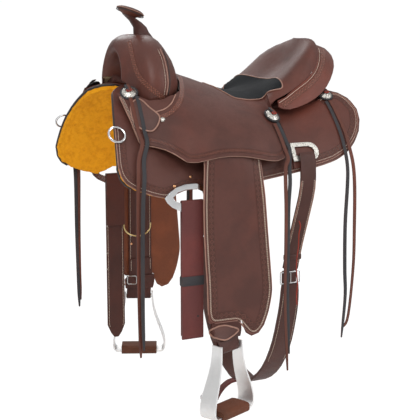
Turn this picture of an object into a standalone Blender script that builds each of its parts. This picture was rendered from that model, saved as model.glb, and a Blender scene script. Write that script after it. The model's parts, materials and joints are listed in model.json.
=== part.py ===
"""A western trail saddle, built piece by piece on one shared back form.

Metres, +Z up. The front of the saddle points along -X, the near side is -Y and
the off side is +Y. The origin lies on the centre line, at the height of the
horse's back below the seat.
"""

import math

import bmesh
import bpy
from mathutils import Matrix, Vector

NEAR, OFF = -1, 1
SIDES = {"near": NEAR, "off": OFF}

# Clearances
GAP = 0.0003  # between flat or matching faces
LAYER_GAP = 0.0006  # between curved leathers whose facets differ

# The back form that the skirts, bars and jockeys are laid on
BACK_RADIUS = 0.32
BACK_START = math.radians(20)  # slope of the back where the skirts start
BACK_OFFSET = 0.03  # from the centre line to the start
BACK_TOP = 0.085
BACK_ROCK = 0.15  # rise towards the withers and the loin
BACK_DIP = 0.055  # how far the spine sinks under the seat
DIP_CENTRE = 0.02
DIP_HALF_LENGTH = 0.28
DIP_FLOOR = -0.08  # height at which the dip has died out

# Leathers, bars and lining
FLEECE_THICKNESS = 0.012
SKIRT_THICKNESS = 0.005
JOCKEY_THICKNESS = 0.003
SEAT_THICKNESS = 0.0045
INLAY_THICKNESS = 0.002
GROUND_SEAT_THICKNESS = 0.005
COVER_THICKNESS = 0.003
BAR_THICKNESS = 0.0144
BAR_WIDTH = 0.095
BAR_FRONT = -0.238
BAR_REAR = 0.262

# Fork, gullet and horn
FORK_CENTRE_Z = 0.09  # the arch is measured around this height
FORK_FRONT = -0.252
FORK_REAR = -0.134
FORK_REACH = math.radians(112)  # from the crown to each foot
HORN_POST_RADIUS = 0.008
HORN_CAP_RADIUS = 0.033
HORN_CAP_CENTRE = Vector((-0.2065, 0, 0.264))
HORN_CAP_TILT = math.radians(20.3)
HORN_CAP_DEPTH = 0.015

# Fender and stirrup leather
LEATHER_INNER_Y = 0.2480  # inner face of the stirrup leather, clear of the latigo
PLY_THICKNESS = 0.0033
PLY_GAP = 0.0004  # half the space between the two plies
FENDER_THICKNESS = 0.0036
LEATHER_WIDTH = 0.066
LEATHER_X = -0.085
FENDER_PIVOT_X = -0.0754
FENDER_PIVOT_Z = -0.035
FENDER_TOP_Z = -0.012
FENDER_BEND_Z = -0.064  # above this the fender leans in under the jockey
LEG_FLARE = 0.006  # how far the leg hangs out, so that its hobble swings over the latigo
WRAP_DEPTH = 0.011  # how far the fender's rear edge curls in under the jockey
WRAP_START_X = -0.045
WRAP_LENGTH = 0.05
WRAP_BOTTOM_Z = -0.145
WRAP_HEIGHT = 0.07
HOBBLE_TOP_Z = -0.4475
HOBBLE_BOTTOM_Z = -0.4855
HOBBLE_THICKNESS = 0.0026

# Stirrup
STIRRUP_YAW = math.radians(24)
BOLT_RADIUS = 0.0055
BOLT_Z = -0.508
STIRRUP_TOP_Z = -0.495
STIRRUP_BOTTOM_Z = -0.664
STIRRUP_PLATE = 0.0045
TREAD_DEPTH = 0.046
TREAD_HALF_LENGTH = 0.048
TREAD_HEIGHT = 0.022

# Rigging plates
PLATE_THICKNESS = 0.0035
FRONT_PLATE_Y = 0.2408
FRONT_SLOT_CENTRE_X = -0.1617
REAR_PLATE_X = 0.146
REAR_PLATE_S = 0.247
REAR_PLATE_LIFT = SKIRT_THICKNESS + LAYER_GAP + JOCKEY_THICKNESS + 0.0013  # flat plate on a curve

# Latigo and billets
LATIGO_WIDTH = 0.0530
LATIGO_THICKNESS = 0.003
LATIGO_BOTTOM_Z = -0.483
FOLD_ROOM = 0.0010  # behind the plate's bar, so that a strap can swing out
BILLET_WIDTH = 0.050
BILLET_BOTTOM_Z = -0.610
REAR_BILLET_WIDTH = 0.041
REAR_BILLET_THICKNESS = 0.005
CINCH_WIDTH = 0.056
CINCH_THICKNESS = 0.007

# Strings, conchos and dees
STRING_WIDTH = 0.0095
STRING_THICKNESS = 0.0024
CONCHO_RADIUS = 0.0175
CONCHO_HEIGHT = 0.0055
DEE_RADIUS = 0.019
DEE_WIRE = 0.0028


def clear_scene():
    for obj in list(bpy.data.objects):
        bpy.data.objects.remove(obj)


def new_collection(name):
    collection = bpy.data.collections.new(name)
    bpy.context.scene.collection.children.link(collection)
    return collection


def paint(name, colour, roughness, metallic=0.0):
    material = bpy.data.materials.new(name)
    material.use_nodes = True
    shader = material.node_tree.nodes["Principled BSDF"]
    shader.inputs["Base Color"].default_value = (*colour, 1)
    shader.inputs["Roughness"].default_value = roughness
    shader.inputs["Metallic"].default_value = metallic
    return material


clear_scene()
saddle = new_collection("trail_saddle")
cutters = new_collection("cutters")

BROWN = (0.105, 0.055, 0.042)
BURGUNDY = (0.150, 0.042, 0.038)
SUEDE = (0.190, 0.075, 0.030)
CHARCOAL = (0.030, 0.028, 0.030)
GOLD = (0.750, 0.330, 0.020)
STEEL = (0.620, 0.610, 0.600)
RAWHIDE = (0.600, 0.480, 0.330)


def leather(name, colour=BROWN, roughness=0.55):
    return paint(name, colour, roughness)


def metal(name, roughness=0.25):
    return paint(name, STEEL, roughness, 1.0)


# Curves and surfaces

def spline(points, count):
    """Points at even steps along a smooth curve through the given points."""
    points = [Vector(p) for p in points]
    last = len(points) - 1
    return [curve_at(points, last * i / (count - 1)) for i in range(count)]


def curve_at(points, t):
    last = len(points) - 1
    i = min(int(t), last - 1)
    f = t - i
    p1, p2 = points[i], points[i + 1]
    p0 = points[i - 1] if i > 0 else 2 * p1 - p2
    p3 = points[i + 2] if i + 2 <= last else 2 * p2 - p1
    return 0.5 * (
        2 * p1 + (p2 - p0) * f + (2 * p0 - 5 * p1 + 4 * p2 - p3) * f * f
        + (3 * p1 - p0 - 3 * p2 + p3) * f ** 3
    )


def value_at(pairs, t):
    """Smooth value at t through pairs of (position, value)."""
    if t <= pairs[0][0]:
        return pairs[0][1]
    for i, ((t0, v0), (t1, v1)) in enumerate(zip(pairs, pairs[1:])):
        if t <= t1:
            f = (t - t0) / (t1 - t0)
            points = [Vector((v, 0, 0)) for _, v in pairs]
            return curve_at(points, i + f).x
    return pairs[-1][1]


def blend(t):
    t = min(max(t, 0.0), 1.0)
    return t * t * (3 - 2 * t)


def back_point(x, s):
    """(y, z) of the back form at girth s, for the +Y side."""
    angle = BACK_START + s / BACK_RADIUS
    top = BACK_TOP + BACK_ROCK * x * x
    y = BACK_OFFSET + BACK_RADIUS * (math.sin(angle) - math.sin(BACK_START))
    z = top - BACK_RADIUS * (math.cos(BACK_START) - math.cos(angle))
    along = (x - DIP_CENTRE) / DIP_HALF_LENGTH
    dip = BACK_DIP * max(0.0, 1 - along * along) ** 2
    share = min(max((z - DIP_FLOOR) / (top - DIP_FLOOR), 0.0), 1.2)
    return y, z - dip * share * share


def back(x, s, lift, side):
    """A point that stands lift above the back form."""
    step = 0.002
    y, z = back_point(x, s)
    y1, z1 = back_point(x, s + step)
    y0, z0 = back_point(x, s - step)
    along = Vector((y1 - y0, z1 - z0)).normalized()
    return Vector((x, side * (y - along.y * lift), z + along.x * lift))


def back_frame(x, s, lift, side):
    """Matrix at a point of the back form: X along the saddle, Z outwards."""
    here = back(x, s, lift, side)
    out = (back(x, s, lift + 0.01, side) - here).normalized()
    forward = Vector((1, 0, 0))
    up = out.cross(forward)
    return Matrix.Translation(here) @ Matrix((forward, up, out)).transposed().to_4x4()


def back_height(x, y, lift):
    """Height of the surface lift above the back form, at (x, y)."""
    low, high = -0.08, 0.34
    for _ in range(40):
        middle = (low + high) / 2
        if back(x, middle, lift, OFF).y < abs(y):
            low = middle
        else:
            high = middle
    return back(x, low, lift, OFF).z


# Object makers

def add_object(name, data, material, collection=saddle):
    obj = bpy.data.objects.new(name, data)
    collection.objects.link(obj)
    if material:
        data.materials.append(material)
    return obj


def mesh_object(name, points, faces, material, collection=saddle):
    mesh = bpy.data.meshes.new(name)
    mesh.from_pydata([tuple(p) for p in points], [], faces)
    shaped = bmesh.new()
    shaped.from_mesh(mesh)
    bmesh.ops.recalc_face_normals(shaped, faces=shaped.faces)
    shaped.to_mesh(mesh)
    shaped.free()
    mesh.shade_smooth()
    mesh.set_sharp_from_angle(angle=math.radians(35))
    return add_object(name, mesh, material, collection)


def sheet(name, grid, thickness, material, outward, mirror=False):
    """An open grid of points with a Solidify, thickened towards outward."""
    columns = len(grid[0])
    points = [p for row in grid for p in row]
    faces = []
    for i in range(len(grid) - 1):
        for j in range(columns - 1):
            a = i * columns + j
            faces.append((a, a + 1, a + columns + 1, a + columns))
    first = (grid[1][0] - grid[0][0]).cross(grid[0][1] - grid[0][0])
    total = Vector(first) * 0
    for a, b, c, d in faces:
        total += (points[c] - points[a]).cross(points[d] - points[b])
    if total.dot(outward) < 0:
        faces = [face[::-1] for face in faces]
    mesh = bpy.data.meshes.new(name)
    mesh.from_pydata([tuple(p) for p in points], [], faces)
    mesh.shade_smooth()
    obj = add_object(name, mesh, material)
    if mirror:
        modifier = obj.modifiers.new("other_half", "MIRROR")
        modifier.use_axis = (False, True, False)
        modifier.merge_threshold = 0.0001
    modifier = obj.modifiers.new("thickness", "SOLIDIFY")
    modifier.thickness = thickness
    modifier.offset = 1
    return obj


def slab(name, low, high, material, collection=saddle):
    """A closed sheet between two grids of points."""
    rows, columns = len(low), len(low[0])
    points = [p for grid in (low, high) for row in grid for p in row]
    shift = rows * columns
    faces = []
    for i in range(rows - 1):
        for j in range(columns - 1):
            a = i * columns + j
            faces.append((a, a + columns, a + columns + 1, a + 1))
            faces.append((a + shift, a + shift + 1, a + shift + columns + 1, a + shift + columns))
    rim = [j for j in range(columns)]
    rim += [i * columns + columns - 1 for i in range(1, rows)]
    rim += [(rows - 1) * columns + j for j in range(columns - 2, -1, -1)]
    rim += [i * columns for i in range(rows - 2, 0, -1)]
    for a, b in zip(rim, rim[1:] + rim[:1]):
        faces.append((a, b, b + shift, a + shift))
    return mesh_object(name, points, faces, material, collection)


def loft(name, rings, material, collection=saddle, caps=True):
    """A closed skin through rings of equal count, with flat ends."""
    count = len(rings[0])
    points = [p for ring in rings for p in ring]
    faces = []
    for i in range(len(rings) - 1):
        for j in range(count):
            a, b = i * count + j, i * count + (j + 1) % count
            faces.append((a, b, b + count, a + count))
    if caps:
        faces.append(tuple(range(count)))
        faces.append(tuple(range((len(rings) - 1) * count, len(rings) * count)))
    return mesh_object(name, points, faces, material, collection)


def sleeve(name, outer, inner, material):
    """A tube wall between two lofts that share their stations."""
    count, rows = len(outer[0]), len(outer)
    points = [p for ring in outer for p in ring] + [p for ring in inner for p in ring]
    shift = rows * count
    faces = []
    for j in range(count):
        k = (j + 1) % count
        for i in range(rows - 1):
            a, b = i * count + j, i * count + k
            faces.append((a, b, b + count, a + count))
            faces.append((a + shift, a + count + shift, b + count + shift, b + shift))
        last = (rows - 1) * count
        faces.append((j, j + shift, k + shift, k))
        faces.append((last + j, last + k, last + k + shift, last + j + shift))
    return mesh_object(name, points, faces, material)


def strap(name, path, across, widths, thickness, material, collection=saddle):
    """A flat strap swept along a path; across is its width direction at each point."""
    rings = []
    for i, point in enumerate(path):
        before = path[max(i - 1, 0)]
        after = path[min(i + 1, len(path) - 1)]
        tangent = (after - before).normalized()
        side = across[i] - tangent * across[i].dot(tangent)
        side.normalize()
        normal = tangent.cross(side)
        w, t = widths[i] / 2, thickness / 2
        rings.append([point + side * a * w + normal * b * t
                      for a, b in ((-1, -1), (1, -1), (1, 1), (-1, 1))])
    return loft(name, rings, material, collection)


def plate(name, outline, holes, thickness, matrix, material):
    """A flat plate from a 2D curve: its lower face lies at the matrix."""
    curve = bpy.data.curves.new(name, "CURVE")
    curve.dimensions = "2D"
    curve.fill_mode = "BOTH"
    curve.extrude = thickness / 2
    for points in [outline] + holes:
        line = curve.splines.new("POLY")
        line.points.add(len(points) - 1)
        for target, (x, y) in zip(line.points, points):
            target.co = (x, y, 0, 1)
        line.use_cyclic_u = True
    obj = add_object(name, curve, material)
    obj.matrix_world = matrix @ Matrix.Translation((0, 0, thickness / 2))
    return solid_mesh(obj)


def solid_mesh(obj):
    """The curve as a mesh with its caps welded."""
    bpy.context.view_layer.update()
    graph = bpy.context.evaluated_depsgraph_get()
    mesh = bpy.data.meshes.new_from_object(obj.evaluated_get(graph))
    shaped = bmesh.new()
    shaped.from_mesh(mesh)
    bmesh.ops.remove_doubles(shaped, verts=shaped.verts, dist=0.00001)
    bmesh.ops.recalc_face_normals(shaped, faces=shaped.faces)
    shaped.to_mesh(mesh)
    shaped.free()
    name, matrix, collection = obj.name, obj.matrix_world.copy(), obj.users_collection[0]
    bpy.data.objects.remove(obj)
    solid = bpy.data.objects.new(name, mesh)
    solid.matrix_world = matrix
    collection.objects.link(solid)
    return solid


def turned(name, profile, steps, matrix, material):
    """A turned piece: (radius, height) from the top down its outer side."""
    mesh = bpy.data.meshes.new(name)
    edges = [(i, i + 1) for i in range(len(profile) - 1)]
    mesh.from_pydata([(r, 0, z) for r, z in profile], edges, [])
    obj = add_object(name, mesh, material)
    modifier = obj.modifiers.new("turn", "SCREW")
    modifier.axis = "Z"
    modifier.steps = modifier.render_steps = steps
    modifier.use_merge_vertices = True
    modifier.merge_threshold = 0.0001
    modifier.use_smooth_shade = True
    obj.matrix_world = matrix
    return obj


def ring_wire(name, points, radius, material, closed):
    curve = bpy.data.curves.new(name, "CURVE")
    curve.dimensions = "3D"
    curve.bevel_depth = radius
    curve.bevel_resolution = 1
    curve.use_fill_caps = True
    line = curve.splines.new("POLY")
    line.points.add(len(points) - 1)
    for target, point in zip(line.points, points):
        target.co = (*point, 1)
    line.use_cyclic_u = closed
    return add_object(name, curve, material)


def cut(obj, cutter):
    cutter.hide_render = True
    cutter.display_type = "WIRE"
    modifier = obj.modifiers.new("cut_" + cutter.name, "BOOLEAN")
    modifier.operation = "DIFFERENCE"
    modifier.solver = "EXACT"
    modifier.object = cutter


def box_cutter(name, size, matrix):
    shaped = bmesh.new()
    bmesh.ops.create_cube(shaped, size=1.0, matrix=Matrix.Diagonal((*size, 1)))
    mesh = bpy.data.meshes.new(name)
    shaped.to_mesh(mesh)
    shaped.free()
    obj = add_object(name, mesh, None, cutters)
    obj.matrix_world = matrix
    return obj


def pivot(name, place):
    empty = bpy.data.objects.new(name, None)
    empty.location = place
    empty.empty_display_size = 0.03
    saddle.objects.link(empty)
    return empty


def hang(obj, empty):
    """Puts the object's origin on its joint axis without moving its shape."""
    place = Vector(empty.location)
    obj.data.transform(Matrix.Translation(-place) @ obj.matrix_world)
    obj.matrix_world = Matrix.Identity(4)
    obj.parent = empty


# Skirts, fleece, bars and rear jockeys

SKIRT_TOP = [
    (-0.288, 0.058), (-0.272, 0.037), (-0.254, 0.023), (-0.236, 0.015),
    (-0.213, 0.012), (-0.165, 0.012), (-0.115, 0.012), (-0.060, 0.012),
    (0.000, 0.012), (0.060, 0.012), (0.120, 0.014), (0.170, 0.022),
    (0.215, 0.035), (0.250, 0.055), (0.275, 0.072), (0.300, 0.085), (0.322, 0.112),
]
SKIRT_BOTTOM = [
    (-0.3285, 0.266), (-0.322, 0.293), (-0.304, 0.310), (-0.262, 0.325),
    (-0.216, 0.335), (-0.165, 0.310), (-0.115, 0.316), (-0.060, 0.313),
    (0.000, 0.305), (0.060, 0.297), (0.130, 0.289), (0.185, 0.282),
    (0.235, 0.273), (0.275, 0.254), (0.305, 0.225), (0.325, 0.190), (0.332, 0.150),
]
REAR_JOCKEY_TOP = [
    (0.108, 0.110), (0.140, 0.110), (0.180, 0.110), (0.220, 0.108),
    (0.250, 0.100), (0.272, 0.090), (0.296, 0.094), (0.314, 0.118),
]
REAR_JOCKEY_BOTTOM = [
    (0.112, 0.284), (0.140, 0.281), (0.185, 0.276), (0.232, 0.267),
    (0.270, 0.248), (0.299, 0.220), (0.318, 0.187), (0.325, 0.152),
]
PANEL_ROWS = 11
PANEL_COLUMNS = 21
SKIRT_BULGE = 0.006  # how far the front edge bows forward


def panel(name, top, bottom, low, high, side, material, rows=PANEL_ROWS, columns=PANEL_COLUMNS, bulge=0):
    """A leather between two edges on the back form, from lift low to lift high."""
    upper = spline([(x, s, 0) for x, s in top], columns)
    lower = spline([(x, s, 0) for x, s in bottom], columns)
    grids = [[], []]
    for i, (a, b) in enumerate(zip(upper, lower)):
        bow = bulge * (1 - i / (columns - 1)) ** 12
        line = []
        for j in range(rows):
            p = a.lerp(b, j / (rows - 1))
            line.append((p.x - bow * math.sin(math.pi * j / (rows - 1)), p.y))
        for grid, lift in zip(grids, (low, high)):
            grid.append([back(x, s, lift, side) for x, s in line])
    return slab(name, grids[0], grids[1], material)


def make_skirts():
    for word, side in SIDES.items():
        panel(f"{word}_skirt", SKIRT_TOP, SKIRT_BOTTOM, 0, SKIRT_THICKNESS, side,
              leather("skirt_leather"), bulge=SKIRT_BULGE)
        panel(f"{word}_fleece", SKIRT_TOP, SKIRT_BOTTOM, -GAP - FLEECE_THICKNESS, -GAP, side,
              paint("fleece", GOLD, 0.95), bulge=SKIRT_BULGE)
        lift = SKIRT_THICKNESS + LAYER_GAP
        panel(f"{word}_rear_jockey", REAR_JOCKEY_TOP, REAR_JOCKEY_BOTTOM, lift, lift + JOCKEY_THICKNESS,
              side, leather("jockey_leather"), rows=9, columns=11)


def bar_ring(x, side, low, high, start, end):
    spans = 4
    under = [start + (end - start) * i / spans for i in range(spans + 1)]
    shoulder = (high - low) * 0.45
    over = [end - 0.014 - (end - 0.014 - start) * i / spans for i in range(spans + 1)]
    ring = [back(x, s, low, side) for s in under]
    ring.append(back(x, end, low + shoulder, side))
    ring += [back(x, s, high, side) for s in over]
    return ring


def make_bars():
    low = SKIRT_THICKNESS + 2 * LAYER_GAP
    high = low + BAR_THICKNESS
    stations = 15
    for word, side in SIDES.items():
        rings = []
        for i in range(stations):
            along = i / (stations - 1)
            x = BAR_FRONT + (BAR_REAR - BAR_FRONT) * along
            waist = 0.012 * math.sin(math.pi * along) ** 2
            taper = 0.03 * (2 * along - 1) ** 6
            rings.append(bar_ring(x, side, low, high, 0.006, 0.006 + BAR_WIDTH - waist - taper))
        loft(f"{word}_tree_bar", rings, paint("rawhide", RAWHIDE, 0.6))
    return high


def bar_cutter(name, high):
    """The room that both bars and the channel between them need under the fork."""
    rings = []
    for i in range(9):
        x = -0.30 + 0.26 * i / 8
        ring = []
        for side in (NEAR, OFF):
            line = [0.012 + BAR_WIDTH - (0.012 + BAR_WIDTH) * k / 5 for k in range(6)]
            points = [back(x, s, high + LAYER_GAP, side) for s in line]
            ring += points if side == NEAR else points[::-1]
        edge = ring[-1]
        ring += [Vector((x, edge.y, -0.06)), Vector((x, -edge.y, -0.06))]
        rings.append(ring)
    return loft(name, rings, None, cutters)


# Fork, fork cover and horn

GULLET = [(0, 0.075), (45, 0.064), (80, 0.055), (112, 0.054)]
FORK_LIP = [(0, 0.105), (22, 0.098), (45, 0.087), (80, 0.078), (112, 0.080)]
FORK_CROWN = [(0, 0.114), (28, 0.127), (41, 0.137), (65, 0.146), (90, 0.155), (112, 0.149)]
FORK_BACK = [(0, 0.102), (29, 0.102), (49, 0.106), (63, 0.112), (80, 0.112), (112, 0.108)]
FORK_STATIONS = 27
FORK_POINTS = 24


def fork_ring(angle, inset):
    """One section of the arch, at an angle from the crown; inset shrinks it evenly."""
    turn = math.degrees(abs(angle))
    inner, lip = value_at(GULLET, turn), value_at(FORK_LIP, turn)
    crown, rear = value_at(FORK_CROWN, turn), value_at(FORK_BACK, turn)
    front = FORK_FRONT - 0.004 * math.sin(math.radians(turn)) ** 2
    back_x = FORK_REAR - 0.016 * math.cos(math.radians(min(turn, 90)))
    corners = [
        (front + 0.005, inner + 0.001), (front - 0.002, (inner + lip) / 2), (front + 0.006, lip),
        (front + 0.016, lip + 0.48 * (crown - lip)), (front + 0.030, lip + 0.86 * (crown - lip)),
        (front + 0.048, crown), (-0.176, crown - 0.10 * (crown - rear)),
        (back_x - 0.011, rear + 0.35 * (crown - rear)), (back_x, rear - 0.004),
        (back_x + 0.010, max(inner + 0.014, rear - 0.024)),
        (back_x + 0.015, max(inner + 0.004, rear - 0.040)),
        (back_x + 0.004, inner - 0.002), (-0.180, inner - 0.003), (-0.225, inner - 0.002),
    ]
    loop = [Vector((x, r, 0)) for x, r in corners]
    closed = [loop[-1]] + loop + [loop[0], loop[1]]
    count = len(loop)
    flat = [curve_at(closed, 1 + count * i / FORK_POINTS) for i in range(FORK_POINTS)]
    shrunk = []
    for i, point in enumerate(flat):
        tangent = flat[(i + 1) % FORK_POINTS] - flat[i - 1]
        inward = Vector((tangent.y, -tangent.x, 0)).normalized()
        shrunk.append(point + inward * inset)
    return [Vector((p.x, p.y * math.sin(angle), FORK_CENTRE_Z + p.y * math.cos(angle))) for p in shrunk]


def fork_rings(inset):
    step = 2 * FORK_REACH / (FORK_STATIONS - 1)
    return [fork_ring(-FORK_REACH + step * i, inset) for i in range(FORK_STATIONS)]


def circle(centre, normal, radius, count=16):
    across = Vector((0, 1, 0))
    up = normal.cross(across)
    return [centre + radius * (across * math.cos(a) + up * math.sin(a))
            for a in (math.tau * i / count for i in range(count))]


def horn_rings(radii, foot=0.186):
    """Rings up the neck of the horn, turning from the fork's crown to the cap."""
    cap_normal = Vector((math.sin(HORN_CAP_TILT), 0, math.cos(HORN_CAP_TILT)))
    top = HORN_CAP_CENTRE - cap_normal * (HORN_CAP_DEPTH + GAP)
    path = spline([(-0.174, 0, foot), (-0.180, 0, 0.206), (-0.1865, 0, 0.228), top], len(radii))
    rings = []
    for i, (centre, radius) in enumerate(zip(path, radii)):
        share = i / (len(radii) - 1)
        normal = Vector((-0.2, 0, 1)).lerp(cap_normal, share * share).normalized()
        rings.append(circle(centre, normal, radius))
    return rings


def make_fork(bar_top):
    reach = bar_cutter("bars_under_fork", bar_top)
    core = loft("fork", fork_rings(COVER_THICKNESS + 2 * LAYER_GAP), paint("rawhide", RAWHIDE, 0.6))
    cover = sleeve("fork_cover", fork_rings(0), fork_rings(COVER_THICKNESS), leather("fork_leather"))
    post = loft("horn_post_room", horn_rings([HORN_POST_RADIUS + 2 * GAP] * 6, 0.184), None, cutters)
    for piece in (core, cover):
        cut(piece, reach)
        cut(piece, post)
    loft("horn", horn_rings([HORN_POST_RADIUS] * 6), metal("horn_steel"))
    outer = horn_rings([0.027, 0.0235, 0.0185, 0.0160, 0.0150, 0.0165])
    inner = horn_rings([HORN_POST_RADIUS + 2 * GAP] * 6)
    wrap = sleeve("horn_wrap", outer, inner, leather("horn_leather"))
    cut(wrap, loft("fork_room", fork_rings(-GAP), None, cutters))
    r = HORN_CAP_RADIUS
    profile = [(0, 0.0045), (0.45 * r, 0.0040), (0.8 * r, 0.0022), (0.96 * r, -0.0005),
               (r, -0.0035), (0.97 * r, -0.0060), (0.8 * r, -0.0090), (0.55 * r, -0.0130),
               (0.48 * r, -HORN_CAP_DEPTH), (0, -HORN_CAP_DEPTH)]
    turned("horn_cap", profile, 20,
           Matrix.Translation(HORN_CAP_CENTRE) @ Matrix.Rotation(HORN_CAP_TILT, 4, "Y"),
           leather("horn_cap_leather"))


# Seat leather with its jockeys: each station runs from the centre line to the edge

SEAT_STATIONS = [
    ((-0.287, 0, 0.125), (-0.289, 0.085, 0.105), (-0.287, 0.155, 0.045), (-0.268, 0.2012, -0.0353)),
    ((-0.250, 0, 0.135), (-0.250, 0.090, 0.118), (-0.250, 0.160, 0.050), (-0.247, 0.2055, -0.0350)),
    ((-0.210, 0, 0.140), (-0.210, 0.095, 0.122), (-0.210, 0.185, 0.055), (-0.208, 0.2280, -0.0480)),
    ((-0.170, 0, 0.135), (-0.170, 0.100, 0.118), (-0.172, 0.255, 0.030), (-0.176, 0.2565, -0.0710)),
    ((-0.130, 0, 0.122), (-0.130, 0.100, 0.108), (-0.132, 0.268, 0.018), (-0.136, 0.2622, -0.0680)),
    ((-0.093, 0, 0.108), (-0.093, 0.100, 0.098), (-0.092, 0.270, 0.010), (-0.090, 0.2628, -0.0615)),
    ((-0.050, 0, 0.094), (-0.050, 0.100, 0.088), (-0.045, 0.270, 0.005), (-0.040, 0.2628, -0.0640)),
    ((-0.005, 0, 0.078), (-0.005, 0.100, 0.078), (-0.005, 0.270, 0.000), (0.003, 0.2622, -0.0720)),
    ((0.035, 0, 0.066), (0.035, 0.100, 0.070), (0.030, 0.255, 0.000), (0.044, 0.2540, -0.0800)),
    ((0.065, 0, 0.062), (0.062, 0.095, 0.068), (0.052, 0.220, 0.008), (0.080, 0.2310, -0.0780)),
    ((0.090, 0, 0.064), (0.084, 0.085, 0.070), (0.066, 0.190, 0.020), (0.101, 0.2140, -0.0600)),
    ((0.110, 0, 0.068), (0.102, 0.075, 0.072), (0.075, 0.165, 0.038), (0.098, 0.1950, -0.0310)),
    ((0.125, 0, 0.0725), (0.118, 0.065, 0.073), (0.083, 0.148, 0.056), (0.093, 0.1710, 0.0110)),
    ((0.140, 0, 0.078), (0.135, 0.055, 0.077), (0.098, 0.122, 0.078), (0.090, 0.1520, 0.0410)),
    ((0.158, 0, 0.087), (0.156, 0.047, 0.085), (0.134, 0.122, 0.120), (0.126, 0.1410, 0.0570)),
    ((0.178, 0, 0.100), (0.178, 0.045, 0.098), (0.173, 0.125, 0.163), (0.166, 0.1310, 0.0760)),
    ((0.198, 0, 0.114), (0.199, 0.045, 0.112), (0.206, 0.120, 0.202), (0.209, 0.1220, 0.1040)),
    ((0.220, 0, 0.136), (0.221, 0.040, 0.134), (0.237, 0.100, 0.219), (0.243, 0.0980, 0.1300)),
    ((0.240, 0, 0.172), (0.241, 0.035, 0.169), (0.262, 0.075, 0.210), (0.262, 0.0730, 0.1490)),
    ((0.255, 0, 0.193), (0.257, 0.025, 0.192), (0.272, 0.055, 0.195), (0.273, 0.0500, 0.1640)),
    ((0.281, 0, 0.181), (0.2805, 0.012, 0.180), (0.279, 0.025, 0.176), (0.277, 0.0360, 0.1720)),
]
FORK_FOOTPRINT = [
    (-0.40, 0.106), (-0.262, 0.112), (-0.248, 0.131), (-0.226, 0.152), (-0.198, 0.1640),
    (-0.168, 0.160), (-0.142, 0.139), (-0.124, 0.100), (-0.114, 0.050), (-0.111, 0.0),
]
ROLL_START = 13  # the station at which the cantle roll begins
SEAT_ROWS = 35
SEAT_COLUMNS = 10


def seat_point(v, u, side):
    """Inner face of the seat leather: v counts stations, u runs centre to edge."""
    a, b, c, d = (curve_at([Vector(s[k]) for s in SEAT_STATIONS], v) for k in range(4))
    w = 1 - u
    p = a * w ** 3 + b * 3 * w * w * u + c * 3 * w * u * u + d * u ** 3
    return Vector((p.x, side * p.y, p.z))


def seat_normal(v, u, side):
    step = 0.01
    v = min(max(v, 0.02), len(SEAT_STATIONS) - 1.5)  # the patch narrows to a corner past this
    u = min(max(u, 0.02), 0.94)
    along = seat_point(v + step, u, side) - seat_point(v - step, u, side)
    over = seat_point(v, u + step, side) - seat_point(v, u - step, side)
    return along.cross(over).normalized() * side


def seat_lift(v, u, lift, side=OFF):
    return seat_point(v, u, side) + seat_normal(v, u, side) * lift


def make_seat():
    last = len(SEAT_STATIONS) - 1
    shares = [(j / (SEAT_COLUMNS - 1)) ** 0.9 for j in range(SEAT_COLUMNS)]
    grids = [[], []]
    for i in range(SEAT_ROWS):
        v = last * i / (SEAT_ROWS - 1)
        for grid, lift in zip(grids, (0, SEAT_THICKNESS)):
            line = [seat_lift(v, u, lift) for u in shares]
            line[0].y = 0
            grid.append([Vector((p.x, -p.y, p.z)) for p in line[:0:-1]] + line)
    seat = slab("seat_leather", grids[0], grids[1], leather("seat_leather"))
    outline = FORK_FOOTPRINT + [(x, -y) for x, y in FORK_FOOTPRINT[-2::-1]]
    room = [[Vector((x, y, z)) for x, y in outline] for z in (-0.2, 0.3)]
    cut(seat, loft("fork_footprint", room, None, cutters))
    make_inlay()
    make_ground_seat()


INLAY_SPAN = (7.4, 16.1)  # stations between which the inlay lies
INLAY_REACH = 0.44  # widest share of the seat line


def make_inlay():
    first, final = INLAY_SPAN
    rows, columns = 14, 6
    lift = SEAT_THICKNESS + 1.5 * LAYER_GAP
    grid = []
    for i in range(rows):
        share = i / (rows - 1)
        v = first + (final - first) * share
        width = INLAY_REACH * math.sin(math.pi * min(max(share, 0.04), 0.955)) ** 0.65
        line = [seat_lift(v, width * j / (columns - 1), lift) for j in range(columns)]
        line[0].y = 0
        grid.append(line)
    sheet("seat_inlay", grid, INLAY_THICKNESS, paint("inlay_suede", CHARCOAL, 0.9), Vector((0, 0, 1)), True)


def make_ground_seat():
    rows, columns = 10, 5
    grid = []
    for i in range(rows):
        v = 5.2 + 4.0 * i / (rows - 1)
        width = 0.20 + 0.10 * math.sin(math.pi * i / (rows - 1))
        line = [seat_lift(v, width * j / (columns - 1), -3 * LAYER_GAP) for j in range(columns)]
        line[0].y = 0
        grid.append(line)
    sheet("ground_seat", grid, GROUND_SEAT_THICKNESS, metal("ground_steel", 0.5), Vector((0, 0, -1)), True)


# Cantle

ROLL_EDGE = [
    (0.106, 0.162, 0.036), (0.128, 0.168, 0.029), (0.177, 0.158, 0.037), (0.224, 0.146, 0.055),
    (0.262, 0.128, 0.078), (0.293, 0.104, 0.107), (0.315, 0.076, 0.132), (0.328, 0.040, 0.154),
    (0.333, 0.000, 0.164),
]
BOARD_LINE = [  # x, y and top height of the cantle board
    (0.164, 0.116, 0.084), (0.186, 0.109, 0.102), (0.212, 0.096, 0.130),
    (0.236, 0.073, 0.152), (0.252, 0.040, 0.168), (0.260, 0.000, 0.172),
]


def both_sides(half):
    """A line from one end to the centre line, carried on to its mirrored end."""
    return half + [Vector((p.x, -p.y, p.z)) for p in half[-2::-1]]


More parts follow.
